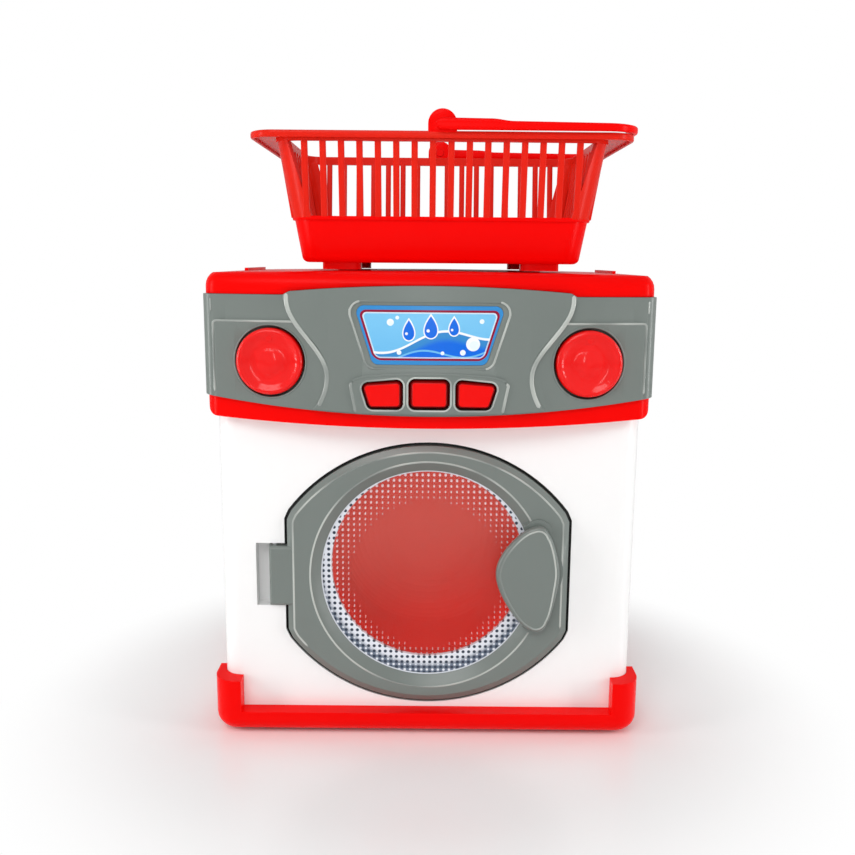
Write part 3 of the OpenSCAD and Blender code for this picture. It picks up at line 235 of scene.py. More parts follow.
def surface(name, grid, wrap=(False, False), poles=(False, False), crease=38.0):
    """A mesh through a grid of points in millimetres: neighbours in the grid make quads. wrap joins the last
    row or column to the first, and poles draws the first or last row together in one point."""
    rows, cols = grid.shape[:2]
    index = np.arange(rows * cols).reshape(rows, cols)
    if poles[0]:
        index[0] = index[0, 0]
    if poles[1]:
        index[-1] = index[-1, 0]
    if wrap[0]:
        index = np.vstack([index, index[:1]])
    if wrap[1]:
        index = np.hstack([index, index[:, :1]])
    quads = np.stack([index[:-1, :-1], index[1:, :-1], index[1:, 1:], index[:-1, 1:]], -1).reshape(-1, 4)
    return solid(name, grid.reshape(-1, 3), quads, crease)


def solid(name, points, faces, crease=38.0):
    """A mesh of points in millimetres and quads, of which those with a corner twice are triangles: doubles
    merge, faces turn outwards, edges sharper than crease degrees stay sharp."""
    mesh = bpy.data.meshes.new(name)
    twice = faces == np.roll(faces, 1, 1)
    folded = twice.any(1)
    triangles = faces[folded][~twice[folded]].reshape(-1, 3)
    mesh.from_pydata((points * MM).tolist(), [], faces[~folded].tolist() + triangles.tolist())
    work = bmesh.new()
    work.from_mesh(mesh)
    bmesh.ops.remove_doubles(work, verts=work.verts, dist=2e-6)
    bmesh.ops.dissolve_degenerate(work, edges=work.edges, dist=1e-7)
    loose = [v for v in work.verts if not v.link_faces]
    bmesh.ops.delete(work, geom=loose, context="VERTS")
    bmesh.ops.recalc_face_normals(work, faces=work.faces)
    work.to_mesh(mesh)
    work.free()
    mesh.shade_smooth()
    mesh.set_sharp_from_angle(angle=np.radians(crease))
    made = bpy.data.objects.new(name, mesh)
    bpy.context.collection.objects.link(made)
    return made


# Floor: flat under the machine and curved up far behind it. It keeps the machine's shadow inside an oval, and
# past that it fades into the white that the camera sees.
floor_half, back_pull, back_rise = 2500.0, 900.0, 1500.0
depth, across = np.meshgrid(np.linspace(-1.0, 1.0, 61), np.linspace(-floor_half, floor_half, 9),
                            indexing="ij")
bend = np.maximum(depth - 0.5, 0.0) * 2.0
sweep = surface("sweep", np.stack([across, depth * floor_half - back_pull * bend ** 2,
                                   back_rise * bend ** 2], -1))
paper = Finish("paper", Base_Color=(0.93, 0.93, 0.93, 1.0), Roughness=0.28, Specular_IOR_Level=0.5)
paper_rays = paper.tree.nodes.new("ShaderNodeLightPath")
bare = paper.node("ShaderNodeEmission", {}, PAPER_WHITE, seen_strength)
x, y, z = paper.axes(paper.place())
shade_x, shade_y, shade_mid = 0.16, 0.15, -0.02
away = (((x / shade_x) ** 2.0 + ((y - shade_mid) / shade_y) ** 2.0) ** 0.5).rise(0.72, 1.35)
camera_part = Signal(paper, paper_rays.outputs["Is Camera Ray"]) * away
veil = paper.node("ShaderNodeMixShader", {}, camera_part, Signal(paper, paper.skin.outputs[0]), bare)
paper.tree.links.new(veil.socket, paper.output.inputs[0])
sweep.data.materials.append(paper.material)


# Moulded pieces kept from the solids ------------------------------------
# Body, head, panel, door and covers come out of steel moulds: glossy ABS with a faint ripple, and a small
# round on every edge where the mould's halves were eased.
def moulded(name, colour, roughness=0.24, shine=0.4, ripple=6e-6):
    """Glossy plastic: the colour and the gloss drift by a few hundredths, and a fine ripple breaks the
    reflections. shine is the specular level and ripple its depth in metres."""
    made = Finish(name, IOR=1.5, Specular_IOR_Level=shine)
    drift = made.cloud(28.0)
    dark = tuple(c * 0.965 for c in colour) + (1.0,)
    light = tuple(min(1.0, c * 1.02 + 0.001) for c in colour) + (1.0,)
    made.wear(Base_Color=made.blend(drift, dark, light), Roughness=roughness + 0.03 * made.cloud(60.0))
    orange_peel, waviness = 3500.0, 30.0
    made.bumpy(made.cloud(orange_peel, 3.0) + made.cloud(waviness), ripple)
    return made


body_of = {node: body for body, nodes in frame["record"]["behaviour"]["bodies"].items() for node in nodes}


def dress(finish, *nodes):
    """Gives CAD nodes that stay as they are a finish."""
    for node in nodes:
        data = frame["nodes"][node].data
        data.materials.clear()
        data.materials.append(finish.material)


def eased(node, finish, round_mm=0.45, angle=30.0):
    """A CAD solid with its loose triangles merged, its flat faces made whole and its sharp edges rounded."""
    mesh = frame["nodes"][node].data.copy()
    mesh.name = node + "_eased"
    mesh.materials.clear()
    work = bmesh.new()
    work.from_mesh(mesh)
    bmesh.ops.remove_doubles(work, verts=work.verts, dist=2e-6)
    bmesh.ops.dissolve_limit(work, angle_limit=np.radians(0.6), verts=work.verts, edges=work.edges)
    work.to_mesh(mesh)
    work.free()
    mesh.shade_smooth()
    mesh.set_sharp_from_angle(angle=np.radians(angle))
    mesh.materials.append(finish.material)
    made = bpy.data.objects.new(node + "_eased", mesh)
    bpy.context.collection.objects.link(made)
    if round_mm:
        ease = made.modifiers.new("ease", "BEVEL")
        ease.width, ease.segments, ease.limit_method = round_mm * MM, 2, "ANGLE"
        ease.angle_limit, ease.use_clamp_overlap = np.radians(angle), True
        ease.harden_normals, ease.miter_outer = False, "MITER_ARC"
    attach(made, body_of[node])
    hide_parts(node)
    return made


WHITE_ABS, RED_ABS = (0.93, 0.93, 0.925), (0.9, 0.001, 0.0005)
white_abs = moulded("white_abs", WHITE_ABS)
red_abs = moulded("red_abs", RED_ABS, 0.24, 0.05)
grey_abs = moulded("grey_abs", (0.17, 0.196, 0.181), 0.27)

# The shell is white; in and behind the door's recess it is painted black as shade, which shows as a dark line
# round the door.
shell_abs = moulded("shell_abs", WHITE_ABS)
x, y, z = shell_abs.axes(shell_abs.place())
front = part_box("body_shell")[0][1]
recess_half, recess_top = 67.3 * MM, 146.8 * MM
recess_shade = (y - front).rise(0.9 * MM, 1.6 * MM)
recess_shade = recess_shade * x.size().rise(recess_half + 0.2 * MM, recess_half)
recess_shade = recess_shade * z.rise(recess_top + 0.2 * MM, recess_top)
shell_abs.wear(Base_Color=shell_abs.blend(recess_shade, (0.92, 0.92, 0.915, 1.0), (0.012, 0.012, 0.012, 1.0)))
eased("body_shell", shell_abs)
for node in ("back_cover", "battery_cover"):
    eased(node, white_abs)
for node in ("base_tray", "head_housing"):
    eased(node, red_abs, 0.8)
for node in ("control_panel", "door_frame"):
    eased(node, grey_abs, 0.5)


# Hidden works -----------------------------------------------------------
# Tub, drum, gears, motor, cells and screws stay as solids, each in its own finish: nylon for the gears, steel
# and brass for what they run on, lacquer for the board. The button springs are copies.
def metal(name, colour, roughness):
    """Plain metal: the colour drifts from place to place and a fine grain changes the gloss."""
    made = Finish(name, Metallic=1.0)
    made.wear(Base_Color=made.blend(made.cloud(400.0), tuple(c * 0.85 for c in colour) + (1.0,),
                                    colour + (1.0,)),
              Roughness=roughness + 0.15 * made.cloud(1500.0))
    return made


steel = metal("steel", (0.68, 0.69, 0.7), 0.28)
brass = metal("sintered_brass", (0.72, 0.55, 0.25), 0.35)
rubber = moulded("rubber", (0.03, 0.03, 0.03), 0.7)
ivory = moulded("ivory_nylon", (0.8, 0.77, 0.66), 0.4)
board_green = moulded("board_lacquer", (0.02, 0.16, 0.06), 0.3)
black = moulded("black_plastic", (0.02, 0.02, 0.02), 0.45)
jacket = moulded("cell_jacket", (0.08, 0.09, 0.12), 0.3)
dress(white_abs, "battery_box")
dress(steel, "base_screws", "case_screws", "board_screws", "plate_screws", "battery_cover_screw",
      "hinge_pin", "door_catch", "drum_shaft", "drum_screw", "idler_axle", "left_knob_clip",
      "right_knob_clip", "battery_contacts", "motor")
button_travel = 2.0 * MM
for side in ("left", "middle", "right"):
    coil = eased(side + "_button_spring", steel, 0.0)
    front, rear = (corner[1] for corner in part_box(side + "_button_spring"))
    side + "_button_press"
    1.0 - button_travel / (rear - front)
    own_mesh(coil)
dress(brass, "drum_bearing")
dress(rubber, "rubber_feet")
dress(ivory, "drum_gear", "idler_gear", "motor_pinion", "gear_plate", "motor_clamp")
dress(board_green, "circuit_board")
dress(black, "button_switches", "speaker")
dress(jacket, "batteries")
dress(grey_abs, "window_retainer", "door_latch")
dress(moulded("drum_abs", (1.0, 0.012, 0.006), 0.6, 0.05), "drum")

# The tub is white, with painted slate shade at its mouth that fades out within 6 mm.
tub_abs = moulded("tub_abs", (0.9, 0.9, 0.9), 0.4)
x, y, z = tub_abs.axes(tub_abs.place())
mouth_y, full_shade_end, white_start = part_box("tub")[0][1], 1.0 * MM, 6.0 * MM
tub_abs.wear(Base_Color=tub_abs.blend((y - mouth_y).rise(full_shade_end, white_start), (0.06, 0.085, 0.11, 1.0),
                                      (0.9, 0.9, 0.9, 1.0)))
dress(tub_abs, "tub")


# Window -----------------------------------------------------------------
# A clear domed disc, printed from behind with a screen of pale dots: they start as specks some way in from
# the rim and grow outwards. Low down they close up into a white mesh round slate specks, which are painted
# shade, and the mesh is painted darker towards the rim as shade. A warm veil over the clear part, thicker
# towards the top, is a painted reflection.
clear = Finish("printed_window", IOR=1.46, Roughness=0.06, Specular_IOR_Level=0.4)
x, y, z = clear.axes(clear.place())
low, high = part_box("door_window")
hub_x, hub_z = (low[0] + high[0]) / 2, (low[2] + high[2]) / 2
dot_pitch = 2.65 * MM
print_start, print_end = 35.0 * MM, 49.3 * MM
across, up = (x - hub_x) / dot_pitch, (z - hub_z) / dot_pitch
reach = ((x - hub_x) ** 2.0 + (z - hub_z) ** 2.0) ** 0.5
spot = (across.fold() ** 2.0 + up.fold() ** 2.0) ** 0.5
growth = 0.07 + 0.17 * ((reach - print_start) / (print_end - print_start))
dots = (growth - spot).rise(-0.05, 0.05) * reach.rise(print_start, print_start + 1.0 * MM)
mesh_r, mesh_lift = 44.6 * MM, 4.8 * MM
mesh_reach = ((x - hub_x) ** 2.0 + (z - hub_z - mesh_lift) ** 2.0) ** 0.5
mesh = mesh_reach.rise(mesh_r, mesh_r + 0.8 * MM)
# The slate specks between the mesh's dots are painted shade.
shade_speck_r = 0.29
between = ((across + 0.5).fold() ** 2.0 + (up + 0.5).fold() ** 2.0) ** 0.5
specks = (shade_speck_r - between).rise(-0.06, 0.06)
# Towards the rim the net is painted darker, as shade.
outer = mesh_reach.rise(mesh_r + 3.6 * MM, mesh_r + 6.6 * MM)
rim = reach.rise(print_end - 0.1 * MM, print_end + 0.3 * MM)
# A painted reflection: a warm veil over the clear part, thicker towards the top.
reflection_veil = 0.05 + 0.1 * (z - hub_z).rise(-30.0 * MM, 30.0 * MM)
WHITE_INK, PALE_INK, RIM_INK = (0.8, 0.83, 0.9, 1.0), (0.82, 0.6, 0.64, 1.0), (0.75, 0.78, 0.84, 1.0)
SHADE_SLATE, SHADED_NET, REFLECTION_TINT = (0.035, 0.05, 0.08, 1.0), (0.16, 0.2, 0.27, 1.0), (1.0, 0.3, 0.24, 1.0)
netting = clear.blend(specks, clear.blend(outer, WHITE_INK, SHADED_NET), SHADE_SLATE)
netting = clear.blend(outer * dots, netting, WHITE_INK)
inked = clear.blend(dots, REFLECTION_TINT, PALE_INK)
inked = clear.blend(mesh, inked, netting)
clear.wear(Base_Color=clear.blend(rim, inked, RIM_INK),
           Alpha=reflection_veil + (0.97 - reflection_veil) * (0.85 * dots).most(mesh).most(0.9 * rim))
eased("door_window", clear, 0.0)


# Label ------------------------------------------------------------------
# A printed film of blues: a wave with a paler band and a white crest, three drops, a few bubbles, and a thin
# dark red line that runs round a little inside the film's edge.
film = Finish("label_film", Roughness=0.2, IOR=1.5, Specular_IOR_Level=0.25)
x, y, z = film.axes(film.place())
low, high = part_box("panel_label")
u, v = (x - (low[0] + high[0]) / 2) / MM, (z - (low[2] + high[2]) / 2) / MM
half_h = (high[2] - low[2]) / MM / 2
half_w = (high[0] - low[0]) / MM / 2
SKY, DEEP, BAND = (0.15, 0.49, 0.82, 1.0), (0.0, 0.14, 0.74, 1.0), (0.035, 0.25, 0.6, 1.0)
WHITE, BUBBLE, KEYLINE = (0.9, 0.92, 0.94, 1.0), (0.8, 0.9, 0.97, 1.0), (0.27, 0.002, 0.03, 1.0)


def swell(height, lean, length, turn, lift):
    """How far a point lies above a sine wave on a leaning line, in millimetres."""
    return v - lift - lean * u - height * (u * (2.0 * np.pi / length) + turn).wave()


def drop(at_u, at_v, wide, tall):
    """1 inside a drop: its half width goes as the root of the height above its foot times the height left
    to its tip, greatest a third of the way up."""
    share = ((v - at_v) / tall).most(0.0).least(1.0)
    return (2.6 * wide * share ** 0.5 * (1.0 - share) - (u - at_u).size()).rise(0.02, 0.26)


def bubble(at_u, at_v, r):
    """1 inside a circle."""
    return (r - ((u - at_u) ** 2.0 + (v - at_v) ** 2.0) ** 0.5).rise(-0.12, 0.12)


crest = swell(3.1, 0.13, 47.0, 0.9, -1.5)
under = swell(2.4, 0.1, 41.0, 2.2, -8.2)
colour = film.blend(v.rise(-half_h, half_h), SKY, (0.2, 0.56, 0.86, 1.0))
colour = film.blend(crest.rise(0.1, -0.1), colour, WHITE)
colour = film.blend(crest.rise(-0.9, -1.1), colour, BAND)
colour = film.blend(crest.rise(-2.6, -6.0), colour, DEEP)
colour = film.blend(under.rise(0.1, -0.1), colour, SKY)
colour = film.blend(under.rise(-0.7, -0.9), colour, DEEP)
for at_u, at_v, wide, tall in ((-9.0, -2.6, 2.5, 8.8), (0.5, -1.6, 2.9, 9.6), (10.5, -0.4, 2.2, 7.6)):
    colour = film.blend(drop(at_u, at_v, wide + 0.5, tall + 1.6), colour, WHITE)
    colour = film.blend(drop(at_u, at_v + 0.5, wide, tall), colour, DEEP)
    colour = film.blend(bubble(at_u - wide * 0.4, at_v + tall * 0.38, wide * 0.24), colour, WHITE)
for at_u, at_v, r in ((18.8, -3.6, 3.0), (14.4, -7.3, 1.2), (-17.0, 5.6, 1.5), (-14.0, 7.6, 0.8),
                      (22.5, 6.2, 1.0), (-13.2, -7.4, 1.0), (5.6, -7.6, 0.8)):
    colour = film.blend(bubble(at_u, at_v, r), colour, WHITE)
    colour = film.blend(bubble(at_u + r * 0.18, at_v - r * 0.2, r * 0.66), colour, BUBBLE)

# The frame: how far a point is past a panel with leaning sides, from which the dark line is turn_r away.
lean, inset, turn_r = 0.31, 5.2, 2.9
side_out = (u.size() - (half_w - inset) - (v - half_h + inset) * lean) * np.cos(np.arctan(lean))
end_out = v.size() - (half_h - inset)
edge = (side_out.most(0.0) ** 2.0 + end_out.most(0.0) ** 2.0) ** 0.5
colour = film.blend((edge - turn_r).rise(0.2, 0.3), colour, BAND)
colour = film.blend((0.3 - (edge - turn_r + 0.75).size()).rise(-0.06, 0.06) * 0.6, colour, WHITE)
colour = film.blend((0.5 - (edge - turn_r).size()).rise(-0.06, 0.06), colour, KEYLINE)
film.wear(Base_Color=colour)
eased("panel_label", film, 0.0)


# Ridges of the panel ----------------------------------------------------
# The mould left a rounded ridge wherever the panel steps: down the fascia's waist, round the raised ends, the
# wells, the buttons and the label's pocket. They are the panel's own grey plastic; those whose round tops
# catch most light are glossier and carry a painted highlight, a paler grey that comes and goes along them.
highlight_abs = moulded("highlight_abs", (0.4, 0.43, 0.4), 0.16, 0.6)
highlight_abs.wear(Base_Color=highlight_abs.blend(highlight_abs.cloud(26.0).rise(0.34, 0.62), (0.2, 0.225, 0.21, 1.0),
                                        (0.47, 0.5, 0.465, 1.0)))
low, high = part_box("control_panel")
BOW = 505.0
fascia_rise, end_rise, surround_rise = 2.4, 1.0, 2.9
face_y = low[1] / MM + surround_rise


def face(x, rise):
    """Depth of the bowed face at x, raised by rise: a circle of radius BOW plus rise about an upright axis
    behind the panel."""
    return face_y + BOW - np.sqrt((BOW + rise) ** 2 - x ** 2)


def ridge(name, path, rise, width, height, depth=0.3, closed=False, flat_y=None, body="machine",
          finish=highlight_abs):
    """An oval bead along a path of (x, z) points on the panel, or on a flat face at flat_y: across the path
    it spans width, it stands height ahead of the face at that rise and goes depth into it. Open ends taper as
    a quarter circle."""
    path = np.asarray(path, float)
    if closed:
        along = np.roll(path, -1, 0) - np.roll(path, 1, 0)
        scale = np.ones(len(path))
    else:
        along = np.gradient(path, axis=0)
        run = np.concatenate([[0.0], np.cumsum(np.hypot(*np.diff(path, axis=0).T))])
        left = np.clip(np.minimum(run, run[-1] - run) / (width * 0.8), 0.0, 1.0)
        scale = np.sqrt(1.0 - (1.0 - left) ** 2)
    side = np.stack([-along[:, 1], along[:, 0]], -1) / np.hypot(*along.T)[:, None]
    turn = np.linspace(0.0, 2.0 * np.pi, 14, endpoint=False)
    out = np.sin(turn)
    flat = path[:, None] + side[:, None] * (scale[:, None] * np.cos(turn) * width / 2)[..., None]
    ground = face(flat[..., 0], rise) if flat_y is None else flat_y
    y = ground - scale[:, None] * out * np.where(out > 0, height, depth)
    made = surface(name, np.stack([flat[..., 0], y, flat[..., 1]], -1), (closed, True),
                   (not closed, not closed), 60.0)
    made.data.materials.append(finish.material)
    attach(made, body)


def hull_ring(circles, grow=0.0, turns=96):
    """Outline of the hull of circles (x, z, r): for each direction, the furthest circle's centre plus its
    grown radius that way."""
    circles = np.asarray(circles, float)
    angle = np.linspace(0.0, 2.0 * np.pi, turns, endpoint=False)
    way = np.stack([np.cos(angle), np.sin(angle)], -1)
    far = (way @ circles[:, :2].T + circles[:, 2]).argmax(1)
    return circles[far, :2] + (circles[far, 2] + grow)[:, None] * way


def even(path, step, closed=False):
    """The same path with points every step millimetres or so."""
    path = np.asarray(path, float)
    if closed:
        path = np.vstack([path, path[:1]])
    run = np.concatenate([[0.0], np.cumsum(np.hypot(*np.diff(path, axis=0).T))])
    at = np.linspace(0.0, run[-1], max(4, int(run[-1] / step)))
    path = np.stack([np.interp(at, run, path[:, 0]), np.interp(at, run, path[:, 1])], -1)
    return path[:-1] if closed else path


# The fascia's waist: a cosine from the narrowest place up to the shoulder, and a parabola down to the foot.
knob_x, knob_z, well_r = 70.1, 178.6, 15.9
waist_z, waist_half, shoulder_half, foot_half = knob_z - 6.2, knob_x - 25.4, knob_x - 7.9, knob_x - 17.5
panel_top, panel_half = 207.6, high[0] / MM
waist_low, waist_high, shoulder_up, foot_down = 159.2, 208.6, 33.6, 18.5
z = np.linspace(waist_low, waist_high, 60)
swell_out = (1.0 - np.cos(np.pi * np.clip((z - waist_z) / shoulder_up, 0.0, 1.0))) / 2
x = np.where(z > waist_z, waist_half + (shoulder_half - waist_half) * swell_out,
             waist_half + (foot_half - waist_half) * ((waist_z - z) / foot_down) ** 2)
ledge_z, end_half = panel_top - 11.5, panel_half - 5.1
for name, k in (("left", -1.0), ("right", 1.0)):
    ridge(name + "_waist", np.stack([k * x, z], -1), fascia_rise, 1.9, 0.3, 2.2)
    ridge(name + "_well", hull_ring([[k * knob_x, knob_z, well_r]], 0.25), end_rise, 0.8, 0.25, closed=True,
          finish=grey_abs)
    corner = [[k * (end_half - 1.5 + 1.5 * np.sin(a)), ledge_z - 1.5 + 1.5 * np.cos(a)]
              for a in np.linspace(0.0, np.pi / 2, 8)]
    ridge(name + "_ledge", even([[k * 56.0, ledge_z]] + corner + [[k * end_half, 164.4]], 1.0), end_rise,
          1.0, 0.15, 0.8)
    ridge(name + "_end", [[k * (end_half + 1.0), t] for t in np.linspace(ledge_z + 4.0, panel_top - 1.6, 12)],
          0.0, 0.8, 0.2)

# Round the label's pocket, with a painted highlight at its sides.
label_top, label_low = panel_top - 7.2, panel_top - 26.2
pocket = hull_ring([[k * (half + 1.2), at, 3.0] for half, at in ((28.4, label_top), (22.3, label_low))
                    for k in (-1.0, 1.0)], 2.0)
ridge("pocket_rim", pocket, fascia_rise, 0.9, 0.2, closed=True, finish=grey_abs)
for name, k in (("left", -1.0), ("right", 1.0)):
    beside = pocket[k * pocket[:, 0] > 21.0]
    beside = beside[np.argsort(beside[:, 1])]
    ridge(f"pocket_{name}", even(beside, 0.8), fascia_rise, 1.0, 0.26)

# Round each button, and along the raised field that holds all three; the rims and the field's sides carry the
# painted highlight.
button_z, half, half_h, corner_r, lean, button_pitch = 165.3, 6.1, 3.9, 2.6, 1.9, 20.4
for name, k in (("left", -1.0), ("middle", 0.0), ("right", 1.0)):
    at = k * button_pitch
    outer = [[at + k * (half - lean), button_z - half_h], [at + k * half, button_z + half_h - 1.6]]
    inner = [[at - k * half, button_z - half_h], [at - k * half, button_z + half_h - 0.4]]
    if k == 0.0:
        outer = [[half, button_z - half_h], [half, button_z + half_h]]
        inner = [[-half, button_z - half_h], [-half, button_z + half_h]]
    ridge(name + "_button_rim", hull_ring([c + [corner_r + 0.5] for c in outer + inner], 0.3),
          surround_rise, 0.8, 0.18, closed=True)
top = button_z + 7.5
side = [[32.1, 156.9], [34.4, top - 3.8], [33.7, top - 2.2], [32.1, top - 1.2], [28.0, top]]
arch = [[28.0 * c, top + 1.3 * (1.0 - c * c)] for c in np.linspace(0.9, -0.9, 15)]
ridge("surround_arch", even(side[2:] + arch + [[-x, z] for x, z in side[:1:-1]], 0.8), surround_rise,
      1.2, 0.12, 0.8, finish=grey_abs)
for name, k in (("left", -1.0), ("right", 1.0)):
    ridge(f"surround_{name}", even([[k * x, z] for x, z in side[:3]], 0.8), surround_rise, 1.3, 0.16, 0.8)


# Door's lines and handle ------------------------------------------------
# The grey door has the same lines with a painted highlight: along its bevel, round the slope to the window and
# on the handle. The handle stands on a block of the door and reaches over the window's edge, with room behind
# it for fingers, and its face is a shallow cap.
low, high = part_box("door_frame")
door_y, door_z, door_half = low[1] / MM + 0.9, 77.7, 65.3
turn = np.linspace(np.radians(-22.0), np.radians(212.0), 200)
c, s = np.cos(turn), np.sin(turn)
# The bevel's line keeps inset from the door's outline: two broad arcs, a circle and the flat sides.
inset, arc_r, arc_down, round_r = 2.9, 80.0, 18.0, 70.5
bound = np.minimum.reduce([np.sqrt((arc_r - inset) ** 2 - (arc_down * c) ** 2) - arc_down * np.abs(s),
                           round_r - inset + 0.0 * c, (door_half - inset) / np.maximum(np.abs(c), 1e-6)])
ridge("door_bevel_line", np.stack([bound * c, door_z + bound * s], -1), 0.0, 0.9, 0.12, flat_y=door_y,
      body="door")
slope_r, turn = 54.7, np.linspace(np.radians(28.0), np.radians(332.0), 160)
ridge("door_ring_line", np.stack([slope_r * np.cos(turn), door_z + slope_r * np.sin(turn)], -1), 0.0, 0.9,
      0.12, flat_y=door_y, body="door")

# The handle's outline: the hull of a row of circles down its outer side and three more towards the window.
handle_x, tip_r, k = door_half - 14.6, 4.8, np.linspace(-1.0, 1.0, 5)
circles = [[handle_x + 0.6 * (1.0 - t * t), door_z + 21.1 * t + (1.0 - t) / 2, tip_r] for t in k]
circles += [[handle_x - 7.3, door_z - 12.1, tip_r], [handle_x - 5.1, door_z + 17.0, tip_r]]
circles += [[handle_x - 4.6, door_z + 3.1, 14.6]]
outline = even(hull_ring(circles), 0.7, closed=True)

# The cap's outline: that one averaged along itself with a bell of weights, stretched back to its old size,
# and nowhere inside the hull.
spread = np.arange(-26, 27)
weights = np.exp(-0.5 * (spread / 7.5) ** 2)
soft = sum(w * np.roll(outline, k, 0) for k, w in zip(spread, weights / weights.sum()))
soft = (soft - soft.min(0)) / np.ptp(soft, 0) * np.ptp(outline, 0) + outline.min(0)
middle = outline.mean(0)
turn = np.linspace(-np.pi, np.pi, 192, endpoint=False)
way = np.stack([np.cos(turn), np.sin(turn)], -1)


def reach_of(path):
    """How far a closed path lies from the handle's middle in each direction."""
    angle = np.arctan2(*(path - middle).T[::-1])
    return np.interp(turn, angle, np.hypot(*(path - middle).T), period=2.0 * np.pi)


cap_r = np.maximum(reach_of(soft), reach_of(outline) + 0.1)
cap_r = np.maximum(sum(np.roll(cap_r, k) for k in range(-5, 6)) / 11.0, reach_of(outline) + 0.05)

# Across the cap, from the middle of its face round the edge to its back: how far in from the outline, and how
# far behind the handle's own face.
handle_low, cap_proud, to_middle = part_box("door_handle")[0][1] / MM, 0.14, 40.0
cap_in = np.array([to_middle, 2.4, 1.7, 1.0, 0.5, 0.15, 0.0, 0.0, 0.4, to_middle])[:, None]
cap_back = np.array([-cap_proud, -cap_proud, -0.1, 0.08, 0.42, 0.95, 1.5, 2.4, 2.62, 2.62])
cap_y = handle_low + cap_back[:, None]
cap_at = middle + np.maximum(cap_r - cap_in, 0.0)[..., None] * way
cap = surface("handle_cap", np.stack([cap_at[..., 0], cap_y + 0.0 * cap_r, cap_at[..., 1]], -1),
              (False, True), (True, True), 50.0)
cap.data.materials.append(grey_abs.material)
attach(cap, "door")
ridge("handle_line", middle + (cap_r - 1.9)[:, None] * way, 0.0, 0.8, 0.12, closed=True,
      flat_y=handle_low - cap_proud, body="door")


# Knobs, buttons and handle ----------------------------------------------
# Two dished knobs, polished in the mould, snap on their spindles, and three buttons slide in the panel. The
# buttons' sloped edges are painted a deeper red as shade, because little light reaches them. The handle is the
# door's grey.
knob_abs = moulded("knob_abs", (0.84, 0.001, 0.0005), 0.1, 0.3, 3e-6)
for node in ("left_knob", "right_knob"):
    eased(node, knob_abs, 0.4)
BUTTON_RED, SLOPE_SHADE_RED = (0.86, 0.001, 0.0005, 1.0), (0.32, 0.001, 0.001, 1.0)
button_abs = moulded("button_abs", BUTTON_RED[:3], 0.2, 0.15)
facing = button_abs.axes(button_abs.node("ShaderNodeNewGeometry", {}, out=1))[1].size()
button_abs.wear(Base_Color=button_abs.blend(facing.rise(0.975, 0.993), SLOPE_SHADE_RED, BUTTON_RED))
for node in ("left_button", "middle_button", "right_button"):
    eased(node, button_abs, 0.25)
eased("door_handle", grey_abs, 0.4)


# Basket -----------------------------------------------------------------
# One red moulding that leans outwards with its mould's draft: a closed band, upright bars from it to the rim,
# a rim with a broad hollow flange at each end, four feet, and two ears for the bail.
def worn(made, finish, body, *nodes):
    """Gives a new mesh its finish and the body it rides on, in place of those CAD nodes."""
    made.data.materials.append(finish.material)
    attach(made, body)
    if nodes:
        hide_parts(*nodes)


def loft(name, rings, finish, body, crease=38.0):
    """Closed solids through rows of closed loops of points, one row to a solid: each loop is joined to the
    next, and strips between a loop's first half and its second close the two ends."""
    rows, levels, count = rings.shape[:3]
    index = np.arange(rows * levels * count).reshape(rows, levels, count)
    ahead = np.roll(index, -1, 2)
    sides = np.stack([index[:, :-1], ahead[:, :-1], ahead[:, 1:], index[:, 1:]], -1).reshape(-1, 4)
    ends, i = index[:, [0, -1]].reshape(-1, count), np.arange(count // 2 - 1)
    caps = np.stack([ends[:, i], ends[:, i + 1], ends[:, count - 2 - i], ends[:, count - 1 - i]], -1)
    faces = np.vstack([sides, caps.reshape(-1, 4)])
    worn(solid(name, rings.reshape(-1, 3), faces, crease), finish, body)


def soft_square(count=16, power=5.0):
    """A loop round a square of side 2 with soft corners: cosine and sine raised to 2 / power, signs kept."""
    turn = (np.arange(count) + 0.5) * 2.0 * np.pi / count
    way = np.stack([np.cos(turn), np.sin(turn)], -1)
    return np.sign(way) * np.abs(way) ** (2.0 / power)


low, high = (np.array(corner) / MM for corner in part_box("basket"))
basket_x, basket_y = (low + high)[:2] / 2
rim_x, rim_y = (high - low)[:2] / 2
foot_h, basket_h, band_h, corner_r, draft = 3.2, 57.5, 20.0, 12.0, 9.5
base_z = low[2] + foot_h
wall_x, wall_y = rim_x - 11.0, rim_y - 2.5


def ring(half_x, half_y, r, z, turns=10):
    """Rounded rectangles about the basket's middle, one for each half length, half width, corner radius and
    height: a quarter circle in every corner, joined by straight sides."""
    half_x, half_y, r, z = (np.asarray(v, float)[:, None] for v in (half_x, half_y, r, z))
    turn = np.concatenate([np.linspace(k, k + 1, turns) for k in range(4)]) * np.pi / 2
    right, back = np.repeat([1, -1, -1, 1], turns), np.repeat([1, 1, -1, -1], turns)
    x = basket_x + right * (half_x - r) + r * np.cos(turn)
    y = basket_y + back * (half_y - r) + r * np.sin(turn)
    return np.stack([x, y, base_z + z + 0.0 * x], -1)


def leaning(h):
    """Half length and half width of the wall's outside at height h over the basket's bottom."""
    drawn = draft * (1.0 - np.asarray(h, float) / basket_h)
    return wall_x - drawn, wall_y - 0.9 * drawn


